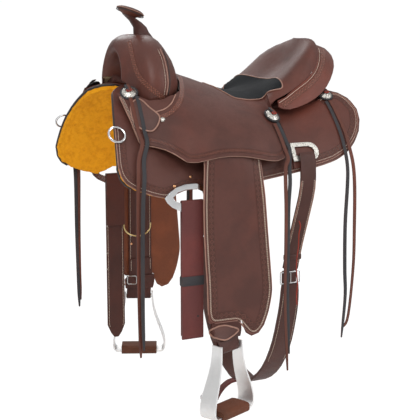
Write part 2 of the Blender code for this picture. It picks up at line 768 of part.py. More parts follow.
def seat_edge(v, u):
    """Foot and top of the seat leather's cut edge along the cantle, and the way past it."""
    last = len(SEAT_STATIONS) - 1
    here = seat_point(v, u, OFF)
    normal = seat_normal(v, max(u, 0.05), OFF)
    ways = []
    if u == 1:
        along = seat_point(min(v + 0.05, last), 1, OFF) - seat_point(v - 0.05, 1, OFF)
        ways.append((along.cross(normal).normalized(), Vector((0, 0, -1))))
    if v == last:
        along = seat_point(v, min(u + 0.02, 1), OFF) - seat_point(v, max(u - 0.02, 0), OFF)
        ways.append((along.cross(normal).normalized(), Vector((1, 0, 0))))
    away = Vector((0, 0, 0))
    for way, outside in ways:
        away += way if way.dot(outside) > 0 else -way
    away.normalize()
    if u == 0:
        here.y = away.y = 0
    return here, here + normal * (SEAT_THICKNESS - 0.0004), away


def make_cantle(bar_top):
    last = len(SEAT_STATIONS) - 1
    rows = [last * i / (SEAT_ROWS - 1) for i in range(SEAT_ROWS)]
    ends = [((j / (SEAT_COLUMNS - 1)) ** 0.9) for j in (6, 3, 0)]
    edge = [seat_edge(v, 1) for v in rows if v > ROLL_START] + [seat_edge(last, u) for u in ends]
    inner, upper, beyond = (both_sides(list(line)) for line in zip(*edge))
    outer = spline(both_sides([Vector(p) for p in ROLL_EDGE]), len(inner))
    rings = []
    for i, (b, c, away, o) in enumerate(zip(inner, upper, beyond, outer)):
        ahead = inner[min(i + 1, len(inner) - 1)] - inner[max(i - 1, 0)]
        w = o - b
        unit = w.normalized()
        m = w.cross(ahead).normalized()
        m = -m if m.z < 0 else m
        full = min(1.0, 0.35 + w.length / 0.045)
        tight = min(i, len(inner) - 1 - i)
        clear = 0.0050 if tight < 2 or tight > 10 else 0.0008
        under = b + away * (clear + 0.0075 * max(0.0, -away.dot(m)))
        c = c + away * clear
        rings.append([
            c, c.lerp(o, 0.33) + m * 0.0030 * full, c.lerp(o, 0.72) + m * 0.0040 * full,
            o - m * 0.0005, o - unit * 0.003 - m * 0.0065 * full, under.lerp(o, 0.66) - m * 0.0055 * full,
            under.lerp(o, 0.33) - m * 0.0030 * full, under,
        ])
    loft("cantle_roll", rings, leather("roll_leather"))
    half = []
    line = spline(BOARD_LINE, 11)
    for i, p in enumerate(line):
        ahead = line[min(i + 1, 10)] - line[max(i - 1, 0)]
        across = Vector((-ahead.y, ahead.x, 0)).normalized() * 0.006
        across = -across if across.x < 0 else across
        foot = max(back_height(q.x, max(abs(q.y), 0.012), bar_top + LAYER_GAP)
                   for q in (p + across, p - across))
        half.append([p + across, Vector((*(p + across).xy, foot)),
                     Vector((*(p - across).xy, foot)), p - across])
    mirrored = [[Vector((q.x, -q.y, q.z)) for q in ring] for ring in half[-2::-1]]
    loft("cantle_board", half + mirrored, paint("rawhide", RAWHIDE, 0.6))


# Metal on the leathers

def make_plates():
    ring = [(-0.228, -0.150), (-0.216, -0.138), (-0.200, -0.128), (-0.178, -0.122),
            (-0.150, -0.122), (-0.130, -0.129), (-0.122, -0.145), (-0.123, -0.165),
            (-0.132, -0.178), (-0.160, -0.184), (-0.190, -0.183), (-0.210, -0.173), (-0.222, -0.162)]
    slot = [(-0.208, -0.150), (-0.196, -0.139), (-0.178, -0.134), (-0.150, -0.134),
            (-0.136, -0.141), (-0.1330, -0.150), (-0.1330, -0.164), (-0.1905, -0.164), (-0.203, -0.159)]
    for word, side in SIDES.items():
        turn = Matrix.Rotation(math.radians(90), 4, "X")
        if side == OFF:
            turn = Matrix.Rotation(math.radians(-90), 4, "X")
        flip = -side
        place = Matrix.Translation((0, side * FRONT_PLATE_Y, 0)) @ turn
        plate(f"{word}_front_rigging_plate", [(x, z * flip) for x, z in ring],
              [[(x, z * flip) for x, z in slot]], PLATE_THICKNESS, place, metal("rigging_steel", 0.12))
        arc = [(0.014 + 0.024 * math.sin(math.pi * i / 8), 0.023 * math.cos(math.pi * i / 8))
               for i in range(9)]
        rim = [(-0.036, 0.023)] + arc + [(-0.036, -0.023)]
        hole = [(-0.026, 0.013), (0.012, 0.013), (0.022, 0.009), (0.026, 0.0), (0.024, -0.009), (-0.026, -0.009)]
        frame = back_frame(REAR_PLATE_X, REAR_PLATE_S, REAR_PLATE_LIFT, side)
        plate(f"{word}_rear_rigging_plate", [(x, z * flip) for x, z in rim],
              [[(x, z * flip) for x, z in hole]], PLATE_THICKNESS, frame, metal("rear_rigging_silver", 0.3))


CONCHOS = {  # on the seat leather: station and share; on the back form: x, girth and lift
    "front": ("seat", 0.70, 0.50),
    "middle": ("seat", 9.85, 0.66),
    "rear": ("back", 0.262, 0.095, SKIRT_THICKNESS + LAYER_GAP + JOCKEY_THICKNESS + 0.0030),
}


CONCHO_SEAT = {"front": 0.0006, "middle": 0.0065}  # room for the rosette below


def seat_frame(v, u, lift, side):
    """Matrix on the seat leather: Z outwards, X along the saddle."""
    out = seat_normal(v, u, side)
    forward = (Vector((1, 0, 0)) - out * out.x).normalized()
    frame = Matrix((forward, out.cross(forward), out)).transposed().to_4x4()
    return Matrix.Translation(seat_lift(v, u, lift, side)) @ frame


def make_conchos():
    r, h = CONCHO_RADIUS, CONCHO_HEIGHT
    profile = [(0, h), (0.4 * r, 0.93 * h), (0.72 * r, 0.62 * h), (0.9 * r, 0.28 * h),
               (r, 0.2 * h), (r, 0), (0, 0)]
    for word, side in SIDES.items():
        for place, (surface, *where) in CONCHOS.items():
            if surface == "seat":
                frame = seat_frame(*where, SEAT_THICKNESS + CONCHO_SEAT[place], side)
            else:
                frame = back_frame(*where, side)
            turned(f"{word}_{place}_concho", profile, 20, frame, metal("concho_silver", 0.3))


def make_dees():
    """A ring at each skirt's front edge, held half behind the leather."""
    for word, side in SIDES.items():
        frame = back_frame(-0.318, 0.192, SKIRT_THICKNESS + DEE_WIRE - 0.0001, side)
        points = [frame @ Vector((DEE_RADIUS * math.cos(a), DEE_RADIUS * math.sin(a), 0))
                  for a in (math.tau * i / 20 for i in range(20))]
        ring_wire(f"{word}_front_dee", points, DEE_WIRE, metal("dee_steel"), True)


# Fender, stirrup leather, hobble strap and stirrup

FENDER_TOP = [(-0.132, FENDER_TOP_Z), (0.004, FENDER_TOP_Z)]
FENDER_BOTTOM = [
    (-0.131, -0.440), (-0.127, -0.4465), (-0.110, -0.4468), (-0.085, -0.4468), (-0.064, -0.4468),
    (-0.0525, -0.4468), (-0.0435, -0.448), (-0.0402, -0.464), (-0.033, -0.480), (-0.019, -0.489),
    (0.000, -0.484), (0.015, -0.466), (0.027, -0.432), (0.036, -0.386),
]


BEND_LEVELS = [FENDER_TOP_Z, -0.025, -0.038, -0.051, FENDER_BEND_Z]


def fender_drop(z):
    """How far the fender has leaned in towards the bars at height z."""
    rise = max(0.0, z - FENDER_BEND_Z)
    return 0.85 * rise * rise / (rise + 0.008)


def leg_flare(z):
    """How far the leg hangs out at height z."""
    share = (FENDER_BEND_Z - z) / (FENDER_BEND_Z - HOBBLE_TOP_Z)
    return LEG_FLARE * min(max(share, 0.0), 1.0)


def fender_wrap(x, z):
    """How far the fender's rear edge curls in under the jockey."""
    return WRAP_DEPTH * blend((x - WRAP_START_X) / WRAP_LENGTH) * blend((z - WRAP_BOTTOM_Z) / WRAP_HEIGHT)


def make_fender(word, side, empty):
    inner = LEATHER_INNER_Y + 2 * PLY_THICKNESS + 2 * PLY_GAP + GAP
    columns = len(FENDER_BOTTOM)
    levels = [0, 0.14, 0.30, 0.46, 0.62, 0.78, 0.90, 1.0]
    grid = []
    for i, (xb, zb) in enumerate(FENDER_BOTTOM):
        share = i / (columns - 1)
        xt = FENDER_TOP[0][0] + (FENDER_TOP[1][0] - FENDER_TOP[0][0]) * share
        line = []
        low = BEND_LEVELS[-1]
        for z in BEND_LEVELS[:-1] + [low + (zb - low) * t for t in levels]:
            t = (FENDER_TOP_Z - z) / (FENDER_TOP_Z - zb)
            bulge = -0.008 * math.sin(math.pi * min(1, t * 1.2)) * (1 - share)
            x = xt + (xb - xt) * t + bulge
            y = inner - fender_drop(z) + leg_flare(z) - fender_wrap(x, z)
            line.append(Vector((x, side * y, z)))
        grid.append(line)
    fender = sheet(f"{word}_fender", grid, FENDER_THICKNESS, leather("fender_leather"), Vector((0, side, 0)))
    hang(fender, empty)


HOBBLE_LEVELS = [HOBBLE_TOP_Z - 0.0004 - i * 0.0063 for i in range(6)] + [HOBBLE_BOTTOM_Z]


def leather_frame(z, side):
    """Middle of the stirrup leather's two plies at height z, with its width and outward directions."""
    turn = STIRRUP_YAW * blend((HOBBLE_TOP_Z + 0.002 - z) / (HOBBLE_TOP_Z - BOLT_Z))
    y = LEATHER_INNER_Y + PLY_THICKNESS + PLY_GAP + LEATHER_WIDTH / 2 * math.sin(turn) - fender_drop(z) + leg_flare(z)
    across = Vector((math.cos(turn), -side * math.sin(turn), 0))
    out = Vector((math.sin(turn), side * math.cos(turn), 0))
    return Vector((LEATHER_X, side * y, z)), across, out


def make_stirrup_leather(word, side, empty):
    spread = BOLT_RADIUS + GAP + PLY_THICKNESS / 2
    close = PLY_THICKNESS / 2 + PLY_GAP
    w, t = LEATHER_WIDTH / 2, PLY_THICKNESS / 2
    rings = []

    def add(centre, across, normal):
        corners = ((-1, -1), (0, -1), (1, -1), (1, 1), (0, 1), (-1, 1))
        rings.append([centre + across * a * w + normal * b * t for a, b in corners])

    down = BEND_LEVELS[1:] + [-0.36] + HOBBLE_LEVELS
    for z in down:
        middle, across, out = leather_frame(z, side)
        add(middle + out * close, across, out)
    middle, across, out = leather_frame(-0.498, side)
    add(middle + out * (0.3 * close + 0.7 * spread), across, out)
    middle, across, out = leather_frame(BOLT_Z, side)
    for i in range(7):
        a = math.pi * i / 6
        radial = out * math.cos(a) - Vector((0, 0, 1)) * math.sin(a)
        add(middle + radial * spread, across, radial)
    middle, across, out = leather_frame(-0.498, side)
    add(middle - out * (0.3 * close + 0.7 * spread), across, -out)
    for z in HOBBLE_LEVELS[::-1] + [-0.40]:
        middle, across, out = leather_frame(z, side)
        add(middle - out * close, across, -out)
    hang(loft(f"{word}_stirrup_leather", rings, leather("stirrup_leather")), empty)


def make_hobble(word, side, empty):
    """The strap around both plies, with its eye-shaped leaf outside."""
    outer, inner = [], []
    room = PLY_THICKNESS + PLY_GAP + 0.0012
    leaf = [0.001, 0.004, 0.006, 0.0065, 0.006, 0.004, 0.001]
    for z, swell in zip(HOBBLE_LEVELS, leaf):
        middle, across, out = leather_frame(z, side)
        half = LEATHER_WIDTH / 2 + 0.0012
        for rings, grow, wide in ((inner, 0, 0), (outer, HOBBLE_THICKNESS, HOBBLE_THICKNESS + swell * 0.4)):
            rings.append([middle + across * a * (half + wide) + out * b * (room + grow)
                          for a, b in ((-1, -1), (0, -1), (1, -1), (1, 1), (0, 1), (-1, 1))])
    strap_piece = sleeve(f"{word}_hobble_strap", outer, inner, leather("hobble_leather"))
    hang(strap_piece, empty)


STIRRUP_SIDE = [  # half width and height down one arm
    (0.0372, STIRRUP_TOP_Z), (0.0378, -0.515), (0.0395, -0.533), (0.0440, -0.555), (0.0520, -0.580),
    (0.0610, -0.603), (0.0680, -0.625), (0.0705, -0.643), (0.0680, -0.656), (0.0610, STIRRUP_BOTTOM_Z + 0.0022),
]


def make_stirrup(word, side, empty):
    middle, along, out = leather_frame(BOLT_Z, side)
    down = Vector((0, 0, 1))
    half = spline([(w, z, 0) for w, z in STIRRUP_SIDE], 15)
    floor = [Vector((w, STIRRUP_BOTTOM_Z + 0.00225, 0)) for w in (0.04, 0.0, -0.04)]
    line = half + floor + [Vector((-p.x, p.y, 0)) for p in half[::-1]]
    path, widths = [], []
    for p in line:
        path.append(middle + along * p.x + down * (p.y - BOLT_Z))
        share = (STIRRUP_TOP_Z - p.y) / (STIRRUP_TOP_Z - STIRRUP_BOTTOM_Z)
        widths.append(0.028 + (TREAD_DEPTH - 0.028) * blend(share * 1.15))
    body = strap(f"{word}_stirrup", path, [out] * len(path), widths, STIRRUP_PLATE, metal("stirrup_aluminium", 0.35))
    bolt_ends = (middle - along * 0.0390, middle + along * 0.0390)
    bolt = loft(f"{word}_stirrup_bolt_shape", [
        [end + (out * math.cos(a) + down * math.sin(a)) * BOLT_RADIUS
         for a in (math.tau * i / 12 for i in range(12))] for end in bolt_ends], None, cutters)
    bolt.hide_render = True
    bolt.display_type = "WIRE"
    joined = body.modifiers.new("bolt", "BOOLEAN")
    joined.operation = "UNION"
    joined.solver = "EXACT"
    joined.object = bolt
    hang(bolt, empty)
    hang(body, empty)
    outer, inner = [], []
    bar_z = STIRRUP_BOTTOM_Z + 0.00225
    for end in (-1, 1):
        centre = middle + along * end * TREAD_HALF_LENGTH + down * (bar_z - BOLT_Z)
        for rings, deep, tall, lift in ((inner, TREAD_DEPTH / 2 + 0.0006, STIRRUP_PLATE / 2 + 0.0006, 0.0),
                                        (outer, TREAD_DEPTH / 2 + 0.0065, TREAD_HEIGHT / 2 + 0.0015, 0.0040)):
            ring = []
            for i in range(12):
                a = math.tau * i / 12 + math.tau / 24
                c, s = math.cos(a), math.sin(a)
                square = max(abs(c), abs(s)) if i % 3 != 1 else abs(c)
                if rings is inner:
                    c, s = c / square, s / square
                else:
                    c, s = math.copysign(abs(c) ** 0.5, c), math.copysign(abs(s) ** 0.5, s)
                ring.append(centre + down * lift + out * c * deep + down * s * tall)
            rings.append(ring)
    cover = sleeve(f"{word}_tread_cover", outer, inner, leather("tread_leather", SUEDE, 0.8))
    hang(cover, empty)


def make_legs():
    for word, side in SIDES.items():
        place = (FENDER_PIVOT_X, side * (LEATHER_INNER_Y + PLY_THICKNESS), FENDER_PIVOT_Z)
        swing = pivot(f"{word}_fender_swing", place)
        make_fender(word, side, swing)
        make_stirrup_leather(word, side, swing)
        make_hobble(word, side, swing)
        middle, _, _ = leather_frame(BOLT_Z, side)
        make_stirrup(word, side, pivot(f"{word}_stirrup_swing", middle))


# Latigo and off billet, hung over the lower bars of the front plates

def make_front_straps():
    plate_middle = FRONT_PLATE_Y + PLATE_THICKNESS / 2
    reach = PLATE_THICKNESS / 2 + GAP + LATIGO_THICKNESS / 2
    bar_middle_z = -0.174
    hub = Vector((FRONT_SLOT_CENTRE_X, 0, bar_middle_z))
    for word, side in SIDES.items():
        swing_name = "latigo_swing" if side == NEAR else "off_billet_swing"
        over = bar_middle_z + 0.0107
        empty = pivot(swing_name, (hub.x, side * plate_middle, over))
        back_reach = reach + FOLD_ROOM
        arc = [(plate_middle + (reach if i < 4 else back_reach) * math.cos(math.pi * i / 6),
                over + reach * math.sin(math.pi * i / 6)) for i in range(7)]
        if side == NEAR:
            bottom = LATIGO_BOTTOM_Z + 0.004
            turn = [(plate_middle + reach / 2 + reach / 2 * math.cos(a), bottom + reach / 2 * math.sin(a))
                    for a in (math.pi + math.pi * i / 5 for i in range(6))]
            line = [(plate_middle, -0.20), (plate_middle, -0.34)] + turn
            line += [(plate_middle + reach, z) for z in (-0.34, -0.19)] + arc
            line += [(plate_middle - back_reach, z) for z in (-0.19, -0.34, -0.474)]
            widths = [LATIGO_WIDTH] * len(line)
            name = "latigo"
            hue = BURGUNDY
        else:
            line = [(plate_middle + reach, z) for z in (BILLET_BOTTOM_Z, BILLET_BOTTOM_Z + 0.012,
                                                        BILLET_BOTTOM_Z + 0.035, -0.50, -0.34, -0.19)]
            line += arc + [(plate_middle - back_reach, z) for z in (-0.19, -0.25, -0.30)]
            widths = [0.012, 0.030] + [BILLET_WIDTH] * (len(line) - 2)
            name = "off_billet"
            hue = BROWN
        path = [Vector((hub.x, side * y, z)) for y, z in line]
        across = [Vector((1, 0, 0))] * len(path)
        hang(strap(name, path, across, widths, LATIGO_THICKNESS, leather(name, hue)), empty)


# Rear billets, buckles and flank cinch: one loop below the horse

CINCH_X = 0.103
BUCKLE_Y = 0.2312
BUCKLE_TOP = -0.3545  # middle of the upper bar, which the cinch swings about
BUCKLE_BOTTOM = -0.3820
BUCKLE_WIRE = 0.0022
BILLET_TIP_Z = BUCKLE_TOP + BUCKLE_WIRE + GAP
TIP_RISE = 0.0060  # the billet's end is a blunt point, so that the buckle can tilt below it
CINCH_LINE = [  # distance from the centre line, height
    (0.2275, -0.430), (0.2150, -0.480), (0.1900, -0.548), (0.1450, -0.617),
    (0.0800, -0.668), (0.0000, -0.692),
]


def make_rear_cinch():
    lift = REAR_PLATE_LIFT
    outer_lift = lift + PLATE_THICKNESS + GAP + REAR_BILLET_THICKNESS / 2
    empty = pivot("rear_cinch_swing", (CINCH_X, 0, BUCKLE_TOP))
    for word, side in SIDES.items():
        frame = back_frame(REAR_PLATE_X, REAR_PLATE_S, lift, side)
        local = [(0.004, outer_lift - lift + 0.0005), (0.022, outer_lift - lift + 0.001)]
        top = [frame @ Vector((0, side * a, b)) for a, b in local]
        rest = [Vector((REAR_PLATE_X - 0.006, side * 0.2450, -0.150)),
                Vector((REAR_PLATE_X - 0.020, side * 0.2420, -0.220)),
                Vector((CINCH_X + 0.010, side * 0.2360, -0.285)),
                Vector((CINCH_X, side * BUCKLE_Y, BILLET_TIP_Z + TIP_RISE))]
        path = spline(top + rest, 16) + [Vector((CINCH_X, side * BUCKLE_Y, BILLET_TIP_Z))]
        strap(f"{word}_rear_billet", path, [Vector((1, 0, 0))] * len(path),
              [REAR_BILLET_WIDTH] * 16 + [0.0008], REAR_BILLET_THICKNESS, leather("billet_leather"))
        make_buckle(word, side, empty)
    top_z = BUCKLE_BOTTOM - BUCKLE_WIRE - GAP
    half = [Vector((CINCH_X, BUCKLE_Y, top_z))] + [Vector((CINCH_X, y, z)) for y, z in CINCH_LINE]
    path = spline(both_sides(half), 31)
    widths = [0.044 + (CINCH_WIDTH - 0.044) * math.sin(math.pi * i / 30) ** 0.5 for i in range(31)]
    cinch = strap("flank_cinch", path, [Vector((1, 0, 0))] * 31, widths, CINCH_THICKNESS, leather("cinch_leather"))
    hang(cinch, empty)
    front = CINCH_X - CINCH_WIDTH / 2 - LAYER_GAP
    path = spline([(front, 0.0, -0.6925), (0.058, 0.0, -0.695), (0.040, 0.0, -0.706),
                   (0.026, 0.0, -0.722), (0.018, 0.0, -0.736)], 9)
    connector = strap("connector_strap", path, [Vector((0, 1, 0))] * 9, [0.022] * 9, 0.005,
                      leather("connector_leather", BURGUNDY))
    hang(connector, empty)


def make_buckle(word, side, empty):
    """A square wire frame between the billet's end and the cinch."""
    top, bottom = BUCKLE_TOP, BUCKLE_BOTTOM
    half = 0.0265
    y = side * BUCKLE_Y
    corners = [(-half, top), (-half * 0.5, top), (0, top), (half * 0.5, top), (half, top),
               (half, (top + bottom) / 2), (half, bottom), (0, bottom), (-half, bottom),
               (-half, (top + bottom) / 2)]
    points = [Vector((CINCH_X + x, y, z)) for x, z in corners]
    frame = ring_wire(f"{word}_flank_buckle", points, BUCKLE_WIRE, metal("buckle_steel"), True)
    hang(frame, empty)


# Saddle strings: two free tails below each concho, as flat cords

STRING_LIFT = 0.0042  # middle of a string above the leather it lies on
STRINGS = {  # first along the leather below each concho, then hanging free, near side
    "front": [
        ([("seat", 0.62, 0.565), ("seat", 0.50, 0.68), ("seat", 0.35, 0.80), ("seat", 0.20, 0.90),
          ("seat", 0.12, 1.0)],
         [(-0.281, 0.2220, -0.064), (-0.288, 0.2362, -0.105), (-0.2915, 0.2406, -0.170),
          (-0.292, 0.2400, -0.300), (-0.2905, 0.2400, -0.420), (-0.2885, 0.2400, -0.512)]),
        ([("seat", 1.05, 0.565), ("seat", 0.98, 0.68), ("seat", 0.90, 0.80), ("seat", 0.80, 0.90),
          ("seat", 0.74, 1.0)],
         [(-0.2695, 0.2240, -0.064), (-0.2755, 0.2400, -0.105), (-0.2815, 0.2448, -0.170),
          (-0.284, 0.2452, -0.300), (-0.2845, 0.2448, -0.420), (-0.283, 0.2446, -0.495)]),
    ],
    "middle": [
        ([("seat", 9.55, 0.72), ("seat", 9.42, 0.79), ("seat", 9.30, 0.87), ("seat", 9.20, 0.94),
          ("seat", 9.16, 1.03)],
         [(0.077, 0.2490, -0.098), (0.070, 0.2620, -0.135), (0.0675, 0.2700, -0.190),
          (0.0665, 0.2722, -0.265), (0.0665, 0.2722, -0.425), (0.0755, 0.2722, -0.585)]),
        ([("seat", 10.28, 0.77), ("seat", 10.1, 0.83), ("seat", 9.95, 0.89), ("seat", 9.84, 0.95),
          ("seat", 9.78, 1.0)],
         [(0.0925, 0.2400, -0.098), (0.084, 0.2580, -0.135), (0.0755, 0.2665, -0.190),
          (0.0745, 0.2682, -0.265), (0.0745, 0.2682, -0.400), (0.081, 0.2682, -0.545)]),
    ],
    "rear": [
        ([("back", 0.266, 0.117), ("back", 0.267, 0.156), ("back", 0.2705, 0.207), ("back", 0.2715, 0.250)],
         [(0.274, 0.2345, -0.105), (0.278, 0.2372, -0.160), (0.2795, 0.2376, -0.250),
          (0.279, 0.2376, -0.357), (0.267, 0.2376, -0.483), (0.249, 0.2376, -0.512)]),
        ([("back", 0.255, 0.117), ("back", 0.2555, 0.156), ("back", 0.257, 0.207), ("back", 0.2575, 0.250)],
         [(0.257, 0.2350, -0.105), (0.256, 0.2390, -0.150), (0.2505, 0.2410, -0.250),
          (0.252, 0.2412, -0.360), (0.255, 0.2412, -0.430), (0.2465, 0.2412, -0.534)]),
    ],
}
OFF_FRONT_SHIFT = 0.022  # the off front strings hang further back


def make_strings():
    for word, side in SIDES.items():
        for place, tails in STRINGS.items():
            for letter, (laid, free) in zip("ab", tails):
                route = []
                for surface, first, second in laid:
                    if surface == "seat":
                        route.append(seat_lift(first, second, SEAT_THICKNESS + STRING_LIFT, side))
                    else:
                        lift = SKIRT_THICKNESS + LAYER_GAP + JOCKEY_THICKNESS + STRING_LIFT - 0.0020
                        route.append(back(first, second, lift, side))
                for i, (x, y, z) in enumerate(free):
                    if side == OFF and place == "front":
                        x += OFF_FRONT_SHIFT * min(1, (i + 1) / 3)
                        y += 0.0035 if i else 0.0012
                    route.append(Vector((x, side * y, z)))
                path = spline(route, 20)
                hue = CHARCOAL if letter == "a" else BURGUNDY
                strap(f"{word}_{place}_string_{letter}", path, [Vector((1, 0, 0))] * 20,
                      [STRING_WIDTH] * 20, STRING_THICKNESS, leather("string_leather", hue))


def build():
    make_skirts()
    bar_top = make_bars()
    make_fork(bar_top)
    make_seat()
    make_cantle(bar_top)
    make_plates()
    make_conchos()
    make_dees()
    make_legs()
    make_front_straps()
    make_rear_cinch()
    make_strings()


build()
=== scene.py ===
import bmesh
import bpy
import json
import math
from mathutils import Matrix, Vector, noise
from mathutils.bvhtree import BVHTree

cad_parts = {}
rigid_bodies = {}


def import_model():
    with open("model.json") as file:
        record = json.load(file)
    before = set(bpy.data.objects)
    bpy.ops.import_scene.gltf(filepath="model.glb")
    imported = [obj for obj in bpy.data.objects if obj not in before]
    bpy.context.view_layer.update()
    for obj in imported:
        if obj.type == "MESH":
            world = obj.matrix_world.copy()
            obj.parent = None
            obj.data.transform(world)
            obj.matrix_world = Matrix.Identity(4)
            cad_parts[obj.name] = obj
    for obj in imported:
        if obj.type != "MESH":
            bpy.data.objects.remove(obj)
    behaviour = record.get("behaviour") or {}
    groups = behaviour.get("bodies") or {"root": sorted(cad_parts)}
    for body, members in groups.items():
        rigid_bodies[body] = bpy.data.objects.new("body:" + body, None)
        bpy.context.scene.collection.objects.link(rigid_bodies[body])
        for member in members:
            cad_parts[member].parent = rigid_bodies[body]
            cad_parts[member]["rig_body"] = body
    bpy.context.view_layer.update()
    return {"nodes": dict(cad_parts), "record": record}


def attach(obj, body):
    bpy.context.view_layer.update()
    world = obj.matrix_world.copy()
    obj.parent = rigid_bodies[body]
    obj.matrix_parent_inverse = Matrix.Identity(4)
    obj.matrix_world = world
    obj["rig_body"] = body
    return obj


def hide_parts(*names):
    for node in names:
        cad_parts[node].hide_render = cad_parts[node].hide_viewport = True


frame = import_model()
nodes = frame["nodes"]
up = Vector((0, 0, 1))
sides = {"near": -1, "off": 1}
print("frame loaded,", len(nodes), "nodes")


# Camera at the photograph's angle

viewpoint = {
    "target": Vector((0.002, 0.0, -0.233)),
    "distance": 2.71,
    "azimuth": -26.0,
    "elevation": 10.0,
    "focal": 1071.0,      # in pixels of the 420 pixel frame
    "pixels": 420,
    "sensor": 36.0,
    "clip": (0.05, 60),
}


def viewBack():
    a = math.radians(viewpoint["azimuth"])
    e = math.radians(viewpoint["elevation"])
    return Vector((math.sin(a) * math.cos(e), -math.cos(a) * math.cos(e), math.sin(e)))


def cameraPlace():
    return viewpoint["target"] + viewBack() * viewpoint["distance"]


def addObject(name, data):
    obj = bpy.data.objects.new(name, data)
    bpy.context.scene.collection.objects.link(obj)
    return obj


def aim(obj, place, way):
    obj.location = place
    obj.rotation_mode = "QUATERNION"
    obj.rotation_quaternion = way.to_track_quat("-Z", "Y")


def makeCamera():
    data = bpy.data.cameras.new("photoCamera")
    data.sensor_width = viewpoint["sensor"]
    data.lens = viewpoint["focal"] * viewpoint["sensor"] / viewpoint["pixels"]
    data.clip_start, data.clip_end = viewpoint["clip"]
    camera = addObject("photoCamera", data)
    aim(camera, cameraPlace(), -viewBack())
    bpy.context.scene.camera = camera


def photoRay(x, y):
    # where the camera stands, and the way it looks through a pixel of the photograph
    forward = -viewBack()
    right = forward.cross(up).normalized()
    rise = right.cross(forward)
    half = viewpoint["pixels"] / 2
    way = forward + right * ((x - half) / viewpoint["focal"]) - rise * ((y - half) / viewpoint["focal"])
    return cameraPlace(), way.normalized()


makeCamera()
bpy.context.scene.view_settings.view_transform = "Standard"


# Shader maths

class Wire:
    def __init__(self, net, socket):
        self.net = net
        self.socket = socket

    def maths(self, operation, *values):
        return self.net.add("ShaderNodeMath", {"operation": operation}, dict(enumerate(values)))

    def __add__(self, other):
        return self.maths("ADD", self, other)

    def __sub__(self, other):
        return self.maths("SUBTRACT", self, other)

    def __rsub__(self, other):
        return self.maths("SUBTRACT", other, self)

    def __mul__(self, other):
        return self.maths("MULTIPLY", self, other)

    def __abs__(self):
        return self.maths("ABSOLUTE", self)

    __radd__ = __add__
    __rmul__ = __mul__

    def fraction(self):
        return self.maths("FRACT", self)

    def sine(self):
        return self.maths("SINE", self)

    def step(self, low, high):
        # 0 below low, 1 above high, smooth between
        return self.net.add("ShaderNodeMapRange", {"interpolation_type": "SMOOTHSTEP"},
                            {"Value": self, "From Min": low, "From Max": high}, "Result")


class Net:
    def __init__(self, nodeTree):
        self.tree = nodeTree

    def give(self, socket, value):
        if isinstance(value, Wire):
            self.tree.links.new(value.socket, socket)
        elif socket.type == "RGBA" and len(value) == 3:
            socket.default_value = (*value, 1)
        else:
            socket.default_value = value

    def add(self, kind, settings=None, inputs=None, output=0):
        node = self.tree.nodes.new(kind)
        for key, value in (settings or {}).items():
            setattr(node, key, value)
        for key, value in (inputs or {}).items():
            self.give(node.inputs[key], value)
        return Wire(self, node.outputs[output])

    def axis(self, vector, name):
        return self.add("ShaderNodeSeparateXYZ", None, {0: vector}, name)


class Finish(Net):
    sockets = {"color": "Base Color", "roughness": "Roughness", "gloss": "Specular IOR Level"}

    def __init__(self, name, roughness=0.5, metallic=0.0):
        self.material = bpy.data.materials.new(name)
        self.material.use_nodes = True
        super().__init__(self.material.node_tree)
        self.shader = self.tree.nodes["Principled BSDF"]
        self.shader.inputs["Roughness"].default_value = roughness
        self.shader.inputs["Metallic"].default_value = metallic

    def place(self):
        return self.add("ShaderNodeTexCoord", output="Object")

    def stretched(self, share):
        # places drawn out upwards
        return self.add("ShaderNodeMapping", None, {"Vector": self.place(), "Scale": (1, 1, share)})

    def noise(self, scale, detail=4.0, rough=0.55, vector=None):
        inputs = {"Vector": vector or self.place(), "Scale": scale, "Detail": detail, "Roughness": rough}
        return self.add("ShaderNodeTexNoise", None, inputs, "Fac")

    def cells(self, scale):
        inputs = {"Vector": self.place(), "Scale": scale}
        return self.add("ShaderNodeTexVoronoi", {"feature": "DISTANCE_TO_EDGE"}, inputs, "Distance")

    def blend(self, share, a, b):
        # sockets 0, 6 and 7 of a colour Mix are its factor and its two colours
        return self.add("ShaderNodeMix", {"data_type": "RGBA"}, {0: share, 6: a, 7: b}, 2)

    def paint(self, **inputs):
        for name, value in inputs.items():
            self.give(self.shader.inputs[self.sockets[name]], value)

    def relief(self, height, distance, strength=1.0):
        bump = self.add("ShaderNodeBump", None,
                        {"Height": height, "Distance": distance, "Strength": strength}, "Normal")
        self.give(self.shader.inputs["Normal"], bump)


def rgb(r, g, b):
    # a colour as it is seen, from 0 to 255, made linear
    return tuple(((c / 255 + 0.055) / 1.055) ** 2.4 if c > 10 else c / 3295 for c in (r, g, b))


def shade(color, share):
    return tuple(min(1, c * share) for c in color)


# Leather

hide = {
    "brown": rgb(86, 49, 41),
    "edge": rgb(158, 118, 102),
    "burgundy": rgb(94, 46, 44),
    "rough": rgb(118, 62, 34),
    "tread": rgb(96, 56, 38),
    "strap": rgb(70, 37, 30),
    "charcoal": rgb(52, 51, 54),
    "russet": rgb(92, 50, 38),
    "suede": rgb(30, 32, 35),
    "rawhide": rgb(190, 172, 142),
    "thread": rgb(222, 202, 184),
    "grain": 620.0,        # pores to the metre
    "stain": 13.0,         # blotches to the metre
}


